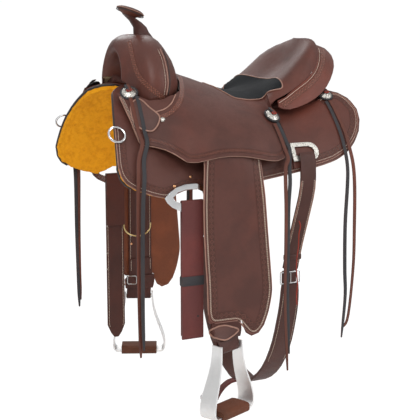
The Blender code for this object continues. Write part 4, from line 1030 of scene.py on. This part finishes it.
borders = {
    "skirt": {"centre": (0.0, 0.02), "first": 183, "last": 364, "bead": 0.0019, "sink": 0.0018,
              "stitches": (0.0050,), "band": (0.0085, 0.0215), "finish": "band", "period": 0.0125},
    "rear_jockey": {"centre": (0.215, -0.005), "first": 238, "last": 425, "bead": 0.0017, "sink": 0.0014,
                    "stitches": (0.0046,), "band": (0.0080, 0.0200), "finish": "band", "period": 0.0125},
    "fender": {"centre": (-0.05, -0.26), "first": 100, "last": 440, "bead": 0.0019, "sink": 0.0018,
               "stitches": (0.0048, 0.0066), "band": (0.0095, 0.0235), "finish": "band", "period": 0.0125},
}
seatBorder = {"centre": (-0.06, 0.03), "first": 186, "last": 338, "bead": 0.0019, "sink": 0.0017,
              "stitches": (), "band": (0.0075, 0.0175), "finish": "beads", "period": 0.0060}


def borderOn(side, node, b):
    x, z = b["centre"]
    edge = sideOutline(node, side, b["centre"], b["first"], b["last"])
    depth = land(node, Vector((x, side * 0.24, z)), Vector((0, side, 0)), 0.2)[0].y
    frames = frameAlong(node, edge, Vector((x, depth, z)))
    label = node.title().replace("_", "")
    bead = [p - out * b["sink"] - across * 0.0002 for p, (out, across) in zip(edge, frames)]
    addTube(label + "Edge", bead, b["bead"], finishes["edge"], bodyOf(node), slotName=slotOf(node))
    for k, inset in enumerate(b["stitches"]):
        stitchRow(f"{label}Stitches{k + 1}", node, edge, frames, inset)
    layStrip(label + "Band", node, edge, frames, *b["band"], b["finish"], b["period"], 0.0004)


for word, side in sides.items():
    for part, b in borders.items():
        borderOn(side, f"{word}_{part}", b)
    borderOn(side, "seat_leather", seatBorder)
print("borders made")


# Details placed where the photograph shows them

trace = {
    "step": 0.003,
    "near": 0.012,      # a ray past the near edge lands on the far side, beyond this y
    "stray": 0.02,
}


def drawn(node, pixels, closed=False):
    # a line on a leather through pixels of the photograph
    start = cameraPlace()
    found = [seen(node, *p)[0] for p in pixels]
    if not node.startswith("off_"):
        found = [p for p in found if p.y < trace["near"]]
    rough = evened(curve(found, 16 * len(found), closed), trace["step"], closed)
    line, outs = [], []
    for p in rough:
        hit, normal, _, _ = tree(node).ray_cast(start, (p - start).normalized(), 6)
        if hit is None or (hit - p).length > trace["stray"]:
            hit, normal, _, _ = tree(node).find_nearest(p)
        line.append(hit)
        outs.append(normal if normal.dot(start - p) > 0 else -normal)
    return softened(line, 1, closed), softened(outs, 4, closed)


def eachSide(node, words=("near", "off")):
    # the pieces that a detail drawn on the near side goes on, and whether it is turned over
    return [(word, node.replace("near_", word + "_"), word == "off") for word in words]


def flipped(points, flip):
    return mirrored(points) if flip else points


def framesOf(line, outs, closed=False):
    frames = []
    for i, out in enumerate(outs):
        out = out.normalized()
        frames.append((out, out.cross(heading(line, i, closed)).normalized()))
    return frames


def drawnSides(node, pixels):
    line, outs = drawn(node, pixels)
    for word, target, flip in eachSide(node):
        points = flipped(line, flip)
        yield word, target, points, framesOf(points, flipped(outs, flip)), -1 if flip else 1


def bandOn(name, node, pixels, near, far, finish, period):
    for word, target, points, frames, way in drawnSides(node, pixels):
        layStrip(word + name, target, points, frames, near * way, far * way, finish, period)


def stitchesOn(name, node, pixels, inset=0.0, scale=1.0):
    for word, target, points, frames, way in drawnSides(node, pixels):
        stitchRow(word + name, target, points, frames, inset * way, scale)


def cordOn(name, node, pixels, radius, finish, lift=0.0):
    line, outs = drawn(node, pixels)
    path = [p + o.normalized() * lift for p, o in zip(line, outs)]
    for word, target, flip in eachSide(node):
        addTube(word + name, flipped(path, flip), radius, finishes[finish], bodyOf(target),
                slotName=slotOf(target))


# how far out a patch's rings lie, and how high in shares of its thickness, or of its crown above that
patchRings = [(1.0, -1.0), (1.0, -0.35), (0.975, 0.0), (0.8, 0.3), (0.6, 0.6), (0.4, 0.85), (0.2, 1.0)]
rimSink = 0.0006


def patchOn(name, node, pixels, lift, crown, thickness, bead):
    # a flat piece with a soft rim that lies on a leather
    line, outs = drawn(node, pixels, True)
    centre = sum(line, Vector()) / len(line)
    out = sum(outs, Vector()).normalized()
    points = []
    for share, level in patchRings:
        for p in line:
            hit, _ = land(node, centre.lerp(p, share), out)
            points.append(hit + out * (lift + level * (crown if level > 0 else thickness)))
    points.append(land(node, centre, out)[0] + out * (lift + crown))
    faces = domeFaces(len(patchRings), len(line))
    faces = facing(points, faces, faces[-1], out)
    rim = [p + o.normalized() * (lift - rimSink) for p, o in zip(line, outs)]
    for word, target, flip in eachSide(node):
        addPiece(word + name, flipped(points, flip), [f[::-1] for f in faces] if flip else faces,
                 finishes["patch"], bodyOf(target), slotName=slotOf(target))
        addTube(f"{word}{name}Edge", flipped(rim, flip), bead, finishes["edge"], bodyOf(target), 8, True,
                slotOf(target))


studs = {"sides": 14, "rings": ((1.0, -0.3), (1.0, 0.25), (0.86, 0.62), (0.55, 0.9))}


def stud(name, place, out, radius, height, finish, body, slotName):
    # a rivet or nail head
    base = turnedFrame(place, out.normalized())
    points = [base @ Vector((math.cos(a) * r * radius, math.sin(a) * r * radius, h * height))
              for r, h in studs["rings"] for a in circle(studs["sides"])]
    points.append(base @ Vector((0, 0, height)))
    addPiece(name, points, domeFaces(len(studs["rings"]), studs["sides"]), finishes[finish], body,
             slotName=slotName)


def studsOn(name, node, pixels, radius, height, finish, slotName, words=("near", "off")):
    for i, (x, y) in enumerate(pixels):
        hit, out = seen(node, x, y)
        for word, target, flip in eachSide(node, words):
            place, way = flipped([hit, out], flip)
            stud(f"{word}{name}{i}", place, way, radius, height, finish, bodyOf(target), slotName)


def spanOf(node, grow=0.0):
    xs = [v.co.x for v in nodes[node].data.vertices]
    return min(xs) - grow, max(xs) + grow


def edgeRun(node, side, edge, zTop, zBottom, inset, inner=False):
    # a line down a strap at a distance in from one edge, on its face away from the horse or its inner face
    low, high = spanOf(node, 0.002)
    step, last = search["spacing"], search["columns"] - 1
    way = Vector((0, side if inner else -side, 0))
    y = side * (0.0 if inner else search["away"])
    line = []
    for k in range(int((zTop - zBottom) / step) + 1):
        z = zTop - k * step
        xs = [x for x in (low + (high - low) * i / last for i in range(last + 1))
              if tree(node).ray_cast(Vector((x, y, z)), way, 0.6)[0] is not None]
        if not xs:
            continue
        x = xs[0] + inset if edge == "front" else xs[-1] - inset
        hit = tree(node).ray_cast(Vector((x, y, z)), way, 0.6)[0]
        if hit is not None:
            line.append(hit)
    return softened(line, 2), [-way for _ in line]


def stitchRun(name, node, side, edge, run, inner=False):
    line, outs = edgeRun(node, side, edge, **run, inner=inner)
    if len(line) > 3:
        stitchRow(name, node, line, framesOf(line, outs))


def lineRun(name, node, side, edge, run, radius, sink, finish):
    line, outs = edgeRun(node, side, edge, **run)
    if len(line) > 3:
        addTube(name, [p - o * sink for p, o in zip(line, outs)], radius, finishes[finish], bodyOf(node), 6,
                slotName=slotOf(node))


# Fork and seat front

swell = {
    "band": [(129, 41), (131, 50), (133, 60), (136, 70), (141, 79), (149, 87), (158, 94), (164, 99)],
    "seam": [(158, 50), (162, 60), (164.5, 72), (165.5, 84), (164, 95)],
    "welt": [(160, 49), (164.5, 60), (167, 72), (168, 84), (166.5, 95)],
    "weltLean": (500, 420, 380, 330, 260),      # pixels to the metre that the second welt lies back
    "nails": [(110.9, 66.3), (113.2, 57.9), (114.4, 53.3), (117.5, 52.3)],
}
bandOn("SwellBand", "fork_cover", swell["band"], near=-0.0065, far=0.0065, finish="vine", period=0.012)
for shift in (0.0, 0.0055):
    cordOn(f"SwellWelt{shift * 1000:.0f}", "fork_cover",
           [(x + shift * lean, y) for (x, y), lean in zip(swell["welt"], swell["weltLean"])],
           radius=0.0014, finish="darkEdge" if shift else "edge")
stitchesOn("SwellSeam", "fork_cover", swell["seam"], scale=0.8)

seatFront = {
    "piping": [(156, 112), (164, 109.5), (171, 104), (175.5, 95), (176, 86), (174.5, 77)],
    "band": [(160, 117.5), (170, 113), (178, 104.5), (181.5, 95), (181.5, 84), (179.5, 76)],
    "tab": [(139.8, 100), (150, 108.5), (159.5, 116.5), (158, 125), (152.3, 131.5), (144, 130.5),
            (137.5, 127), (133, 121), (131, 113), (131.5, 104)],
    "edge": [(119.5, 97), (122.9, 104), (126.5, 112), (130.3, 120), (133.7, 128), (137.3, 136),
             (138.7, 139.6)],
    "stitches": [(121, 97), (124.4, 104), (128, 112), (131.8, 120), (135.2, 128), (138.8, 136),
                 (140.2, 139.6)],
    "screw": [(162.5, 119.5)],
}
cordOn("CutOutPiping", "seat_leather", seatFront["piping"], radius=0.0017, finish="edge", lift=0.0006)
bandOn("CutOutBand", "seat_leather", seatFront["band"], near=-0.006, far=0.006, finish="vine", period=0.012)
patchOn("FrontTab", "seat_leather", seatFront["tab"], lift=0.0034, crown=0.0006, thickness=0.003, bead=0.0019)
cordOn("JockeyFrontEdge", "seat_leather", seatFront["edge"], radius=0.0016, finish="edge", lift=0.0002)
for inset in (0.0055, 0.0085):
    stitchesOn(f"JockeyFrontStitches{inset * 10000:.0f}", "seat_leather", seatFront["stitches"],
               inset - 0.0055)
studsOn("TabScrew", "seat_leather", seatFront["screw"], radius=0.0060, height=0.0032,
        finish="silver", slotName="concho_silver")
studsOn("GulletNail", "fork", swell["nails"], radius=0.0022, height=0.0016,
        finish="brass", slotName="fork_leather", words=("near",))

hornFoot = {"x": -0.176, "radius": 0.036, "above": 0.35, "half": 0.0055, "points": 60}


def makeHornRing():
    # a stamped ring round the foot of the horn
    line, outs = [], []
    for a in circle(hornFoot["points"]):
        start = Vector((hornFoot["x"] + hornFoot["radius"] * math.cos(a), hornFoot["radius"] * math.sin(a),
                        hornFoot["above"]))
        hit, normal, _, _ = tree("fork_cover").ray_cast(start, -up, 0.4)
        if hit is not None:
            line.append(hit)
            outs.append(normal)
    frames = framesOf(line, softened(outs, 4, True), True)
    layStrip("hornRing", "fork_cover", line, frames, near=-hornFoot["half"], far=hornFoot["half"],
             finish="vine", period=0.011, closed=True)


makeHornRing()
cap = {"centre": Vector((-0.2065, 0, 0.264)), "tilt": math.radians(20.3), "radius": 0.0333, "bead": 0.0011,
       "rims": ((-0.0032, "edge"), (-0.0075, "darkEdge"))}


def makeCapRims():
    # the layers of leather at the rim of the horn cap
    capUp = Vector((math.sin(cap["tilt"]), 0, math.cos(cap["tilt"])))
    across = Vector((0, 1, 0))
    capSide = capUp.cross(across)
    for level, finish in cap["rims"]:
        ring = [cap["centre"] + capUp * level + (capSide * math.cos(a) + across * math.sin(a)) * cap["radius"]
                for a in circle(48)]
        addTube("capRim" + finish.title(), ring, cap["bead"], finishes[finish], bodyOf("horn_cap"), 6, True,
                slotOf("horn_cap"))


makeCapRims()


# Cantle roll and seat inlay

cantlePath = [(279.8, 102.6), (284.8, 99.2), (289.4, 95.8), (293.8, 92.2), (298.4, 88.6), (303.2, 85),
              (307.8, 81.2), (311.6, 77.2), (314.8, 72.8), (317.2, 68), (318.8, 63), (319.5, 57.5),
              (319.3, 52), (318.5, 48)]
stitchesOn("RollStitches", "cantle_roll", cantlePath, scale=1.15)
bandOn("RollStamps", "cantle_roll", cantlePath, near=-0.016, far=-0.0035, finish="vine", period=0.011)

inlay = {
    "near": [(221.6, 91.8), (230, 96), (242, 99.5), (255, 100), (265, 96.5), (274.5, 90.5), (282, 83),
             (285.5, 75)],
    "down": Vector((0.45, 0, -0.9)).normalized(),     # square to the dish of the seat
    "rings": [1.0, 0.985, 0.93, 0.85, 0.75, 0.65, 0.55, 0.45, 0.35, 0.25, 0.15, 0.07],
    "lift": 0.0018,
    "bead": 0.0016,
}


def makeInlay():
    def rest(p, lift):
        hit = tree("seat_leather").ray_cast(p - inlay["down"] * 0.12, inlay["down"], 0.3)[0] or p
        return hit - inlay["down"] * lift

    near = [seen("seat_leather", *p)[0] for p in inlay["near"]]
    near[0].y = near[-1].y = 0.0
    ring = curve(near, 40)
    ring = softened(evened(ring + mirrored(ring[1:-1][::-1]), 0.004, True), 2, True)
    centre = sum(ring, Vector()) / len(ring)
    points = []
    for j, share in enumerate(inlay["rings"]):
        points += [rest(centre.lerp(p, share), inlay["lift"] if j else -0.0004) for p in ring]
    points.append(rest(centre, inlay["lift"]))
    faces = domeFaces(len(inlay["rings"]), len(ring))
    faces = facing(points, faces, faces[-1], up)
    leaf = addPiece("seatInlay", points, faces, finishes["suede"], "saddle", slotName="inlay_suede")
    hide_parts("seat_inlay")
    piping = softened([rest(p, inlay["lift"] * 0.8) for p in ring], 2, True)
    addTube("inlayPiping", piping, inlay["bead"], finishes["edge"], "saddle", 8, True, "inlay_suede")


makeInlay()


# Straps, rivets and buckles

seams = {
    "billet": {"zTop": -0.135, "zBottom": -0.335, "inset": 0.0042},
    "billetEdge": {"zTop": -0.135, "zBottom": -0.34, "inset": 0.0010},
    "leather": {"zTop": -0.18, "zBottom": -0.435, "inset": 0.0045},
    "offBilletInner": {"zTop": -0.305, "zBottom": -0.585, "inset": 0.0042},
    "offBilletOuter": {"zTop": -0.195, "zBottom": -0.585, "inset": 0.0042},
    "cinch": {"zTop": -0.40, "zBottom": -0.60, "inset": 0.0050},
}
for word, side in sides.items():
    billet = word + "_rear_billet"
    for edge in ("front", "rear"):
        stitchRun(f"{word}BilletStitches{edge.title()}", billet, side, edge, seams["billet"])
        lineRun(f"{word}BilletEdge{edge.title()}", billet, side, edge, seams["billetEdge"],
                radius=0.0014, sink=0.0006, finish="edge")
for face in ("Inner", "Outer"):
    for edge in ("front", "rear"):
        label, inner = face + edge.title(), face == "Inner"
        stitchRun("offBilletStitches" + label, "off_billet", 1, edge, seams["offBillet" + face], inner)
        for word in ("off", "near"):
            stitchRun(f"{word}LeatherStitches{label}", word + "_stirrup_leather", sides[word], edge,
                      seams["leather"], inner)
studsOn("SkirtRivet", "near_skirt", [(190.7, 176.6), (174.4, 186.3)], radius=0.0034, height=0.0016,
        finish="copper", slotName="skirt_leather")

keeper = {
    "levels": [(-0.5, -0.7), (-0.46, 0.0), (0.0, 0.15), (0.46, 0.0), (0.5, -0.7)],      # height and swell
    "rays": 80,
}


def strapBand(name, node, z, height, finish, grow=0.0016):
    # a keeper wrapped round a strap
    left, right = spanOf(node)
    side = 1 if nodes[node].data.vertices[0].co.y > 0 else -1
    run = []
    for start, way in ((search["away"] * side, -side), (0.0, side)):
        for i in range(keeper["rays"] + 1):
            x = left + (right - left) * i / keeper["rays"]
            run.append(tree(node).ray_cast(Vector((x, start, z)), Vector((0, way, 0)), 0.6)[0])
    run = [p for p in run if p is not None]
    xs, ys = [p.x for p in run], [p.y for p in run]
    low, high = Vector((min(xs) - grow, min(ys) - grow, 0)), Vector((max(xs) + grow, max(ys) + grow, 0))
    ring = []
    corners = ((high.x, high.y, 0), (low.x, high.y, 90), (low.x, low.y, 180), (high.x, low.y, 270))
    for cx, cy, first in corners:
        sx, sy = (1 if cx == high.x else -1), (1 if cy == high.y else -1)
        for k in range(4):
            a = math.radians(first + 30 * k)
            ring.append(Vector((cx - sx * grow + grow * math.cos(a), cy - sy * grow + grow * math.sin(a), 0)))
    centre = (low + high) / 2
    points = [Vector((p.x, p.y, z + share * height)) + (p - centre).normalized() * swelling * grow
              for share, swelling in keeper["levels"] for p in ring]
    addPiece(name, points, hoopFaces(len(keeper["levels"]), len(ring)), finishes[finish], bodyOf(node),
             slotName=slotOf(node))


strapBand("latigoKeeper", "latigo", z=-0.345, height=0.022, finish="charcoal")
for word in sides:
    strapBand(word + "BilletKeeper", word + "_rear_billet", z=-0.318, height=0.013, finish="strap",
              grow=0.0022)

holes = {
    "rear": [(299, 185)],
    "latigo": [(198, 316)],
    "offBillet": [(104.8, 242.4), (104.5, 260.4), (103.9, 278.5), (103.5, 297)],
}
studsOn("RearBilletHole", "near_rear_billet", holes["rear"], radius=0.0034, height=0.0003,
        finish="darkEdge", slotName="billet_leather")
studsOn("LatigoHole", "latigo", holes["latigo"], radius=0.0026, height=0.0003,
        finish="darkEdge", slotName="latigo_leather", words=("near",))
studsOn("OffBilletEye", "off_billet", holes["offBillet"], radius=0.0021, height=0.0006,
        finish="silver", slotName="billet_leather", words=("near",))


def onPlane(x, y, depth):
    # the place at one distance from the middle of the saddle that a pixel shows
    start, way = photoRay(x, y)
    return start + way * ((depth - start.y) / way.y)


hobble = {
    "leaf": [(210, 332), (216, 327.5), (224, 325.5), (232, 327), (238, 329.5), (233, 335), (225, 340),
             (216, 338.5)],
    "buckle": [(127.5, 276), (136.5, 276), (136.5, 284), (127.5, 284)],
    "halfRing": [(124, 223), (124.5, 229), (129, 234), (137, 236), (144.5, 234), (149.5, 229),
                 (150.5, 222.5)],
    "rivets": [(132, 236, "silver"), (144, 236, "silver"), (132.5, 244.5, "copper"), (143.5, 244, "copper")],
    "depth": 0.2475,         # about where the inner face of the off leather is
    "ringDepth": 0.2415,
    "buckleGap": 0.0004,
    "under": ("off_stirrup_leather", "off_hobble_strap"),
}
patchOn("HobbleLeaf", "near_hobble_strap", hobble["leaf"], lift=0.0030, crown=0.0008, thickness=0.0024,
        bead=0.0020)


def underLeg(place):
    # the same place on the inner face of the off leg
    start, way = Vector((place.x, 0.2, place.z)), Vector((0, 1, 0))
    hits = [tree(part).ray_cast(start, way, 0.1)[0] for part in hobble["under"]]
    return min([h for h in hits if h] or [place], key=lambda h: h.y)


def makeHobbleBuckle():
    corners = [onPlane(x, y, hobble["depth"]) for x, y in hobble["buckle"]]
    face = min(underLeg(p).y for p in corners)
    for p in corners:
        p.y = face - hobble["buckleGap"]
    square = [a.lerp(b, t) for a, b in zip(corners, corners[1:] + corners[:1]) for t in (0.12, 0.5, 0.88)]
    addTube("offHobbleBuckle", square, 0.0012, finishes["steel"], "off_leg", 8, True, "hobble_leather")


makeHobbleBuckle()
halfRing = curve([onPlane(x, y, hobble["ringDepth"]) for x, y in hobble["halfRing"]], 60)
addTube("offHalfRing", evened(halfRing, 0.002), 0.0019, finishes["brass"], "off_leg",
        slotName="stirrup_leather")
for word in ("off", "near"):
    for i, (x, y, finish) in enumerate(hobble["rivets"]):
        place, way = flipped([underLeg(onPlane(x, y, hobble["depth"])), Vector((0, -1, 0))], word == "near")
        stud(f"{word}LeatherRivet{i}", place, way, radius=0.0032, height=0.0010, finish=finish,
             body=word + "_leg", slotName="stirrup_leather")

flank = {
    "x": 0.103,
    "tongue": [(0.2272, -0.3515), (0.2266, -0.358), (0.2264, -0.368), (0.2266, -0.378), (0.2272, -0.3845)],
    "prong": [(0.2336, -0.3545), (0.2345, -0.360), (0.2345, -0.374), (0.2338, -0.3815)],
    "width": 0.040,
    "thickness": 0.0030,
}
for word, side in sides.items():
    for edge in ("front", "rear"):
        stitchRun(f"{word}CinchStitches{edge.title()}", "flank_cinch", side, edge, seams["cinch"])
for word, side in sides.items():
    # the strap end that lies behind the flank buckle, and the buckle's prong
    path = [Vector((flank["x"], side * y, z)) for y, z in flank["tongue"]]
    count = len(path)
    across, widths = [Vector((1, 0, 0))] * count, [flank["width"]] * count
    points, faces, _ = strapParts(path, across, widths, flank["thickness"])
    addPiece(word + "BuckleTongue", points, faces, finishes["strap"], bodyOf("flank_cinch"),
             slotName="cinch_leather")
    prong = [Vector((flank["x"], side * y, z)) for y, z in flank["prong"]]
    addTube(word + "BuckleProng", prong, 0.0013, finishes["steel"], bodyOf("flank_cinch"),
            slotName="buckle_steel")

lace = {
    "route": [(299, 221), (300.5, 226), (299, 234), (298.5, 246), (297, 258), (296.5, 270), (297.5, 284),
              (296.5, 296), (297, 305)],
    "depth": -0.2530,
}
laceLine = curve([onPlane(x, y, lace["depth"]) for x, y in lace["route"]], 80)
addTube("billetLace", evened(laceLine, 0.003), 0.0015, finishes["lace"], "saddle", 6,
        slotName="string_leather")


# Snap on the connector

snap = {
    "end": 0.006,      # the length of strap that its end is worked out from
    "girth": [0.0030, 0.0042, 0.0040, 0.0034, 0.0034, 0.0034, 0.0036, 0.0036, 0.0030, 0.0018],
    "ring": 0.0085,
    "hook": 0.009,
    "wire": 0.0019,
}


def makeSnap():
    corners = [v.co for v in nodes["connector_strap"].data.vertices]
    tip = min(c.x for c in corners)
    last = [c for c in corners if c.x < tip + snap["end"]]
    end = sum(last, Vector()) / len(last)
    body, r, hook = bodyOf("connector_strap"), snap["ring"], snap["hook"]
    ring = [end + Vector((-0.004 + r * math.cos(a), 0.0035 * math.sin(a), r * math.sin(a)))
            for a in circle(28)]
    addTube("snapRing", ring, snap["wire"], finishes["chrome"], body, 8, True, "cinch_leather")
    stem = [end + Vector((-0.011 - 0.020 * t, 0.0, 0.006 * t)) for t in (k / 9 for k in range(10))]
    addTube("snapStem", stem, snap["girth"], finishes["chrome"], body, 10, slotName="cinch_leather")
    bend = [end + Vector((-0.030 + hook * math.cos(a) - 0.004, 0.0, 0.007 + hook * math.sin(a)))
            for a in (math.radians(-60 + 270 * k / 20) for k in range(21))]
    addTube("snapHook", bend, snap["wire"], finishes["chrome"], body, slotName="cinch_leather")


makeSnap()


# Floor, backdrop and light

studio = {
    "floorZ": -0.765,
    "floor": (0.93, 0.93, 0.93),
    "floorSpan": 9,
    "floorGlow": 1.14,
    "floorShown": 0.82,      # how much of the glow the camera sees
    "worldForObject": 0.62,
    "worldShown": 1.02,
    "room": {"From Min": -0.25, "From Max": 0.75, "To Min": 0.16, "To Max": 0.85},
    "aimedAt": Vector((0, 0, -0.15)),
    "lamps": [    # place, width, power, colour
        ((-1.5, -2.3, 1.9), 1.8, 46, (1.0, 0.99, 0.97)),
        ((2.2, -1.9, 0.9), 1.6, 24, (1.0, 1.0, 1.0)),
        ((0.3, 2.2, 1.8), 1.6, 26, (1.0, 1.0, 1.0)),
    ],
}


def makeWorld():
    # shiny pieces mirror a room that is bright above and dim at the sides
    world = bpy.data.worlds.new("studioWorld")
    bpy.context.scene.world = world
    world.use_nodes = True
    net = Net(world.node_tree)
    back = net.tree.nodes["Background"]
    height = net.axis(net.add("ShaderNodeTexCoord", output="Generated"), "Z")
    room = net.add("ShaderNodeMapRange", {"interpolation_type": "SMOOTHSTEP"},
                   {"Value": height, **studio["room"]}, "Result")
    level = net.add("ShaderNodeMapRange", None,
                    {"Value": net.add("ShaderNodeLightPath", output="Is Glossy Ray"),
                     "To Min": studio["worldForObject"], "To Max": room}, "Result")
    shown = net.add("ShaderNodeMapRange", None,
                    {"Value": net.add("ShaderNodeLightPath", output="Is Camera Ray"),
                     "To Min": level, "To Max": studio["worldShown"]}, "Result")
    net.give(back.inputs["Color"], (1, 1, 1))
    net.give(back.inputs["Strength"], shown)


def makeFloor():
    f = Finish("studioFloor", 0.9)
    f.paint(color=f.blend(f.noise(3, 3, 0.5) * 0.04, studio["floor"], (0.9, 0.9, 0.9)))
    glow = f.add("ShaderNodeEmission", None, {"Color": (1, 1, 1), "Strength": studio["floorGlow"]})
    share = f.add("ShaderNodeLightPath", None, None, "Is Camera Ray") * studio["floorShown"]
    mixed = f.add("ShaderNodeMixShader", None, {0: share, 1: Wire(f, f.shader.outputs[0]), 2: glow})
    f.give(f.tree.nodes["Material Output"].inputs["Surface"], mixed)
    mesh = bpy.data.meshes.new("floor")
    a = studio["floorSpan"]
    mesh.from_pydata([(-a, -a, 0), (a, -a, 0), (a, a, 0), (-a, a, 0)], [], [(0, 1, 2, 3)])
    mesh.materials.append(f.material)
    floor = addObject("studioFloor", mesh)
    floor.location.z = studio["floorZ"]


def makeLamps():
    for i, (place, width, power, color) in enumerate(studio["lamps"]):
        data = bpy.data.lights.new(f"lamp{i}", "AREA")
        data.shape = "DISK"
        data.size = width
        data.energy = power
        data.color = color
        aim(addObject(f"lamp{i}", data), Vector(place), studio["aimedAt"] - Vector(place))


makeWorld()
makeFloor()
makeLamps()
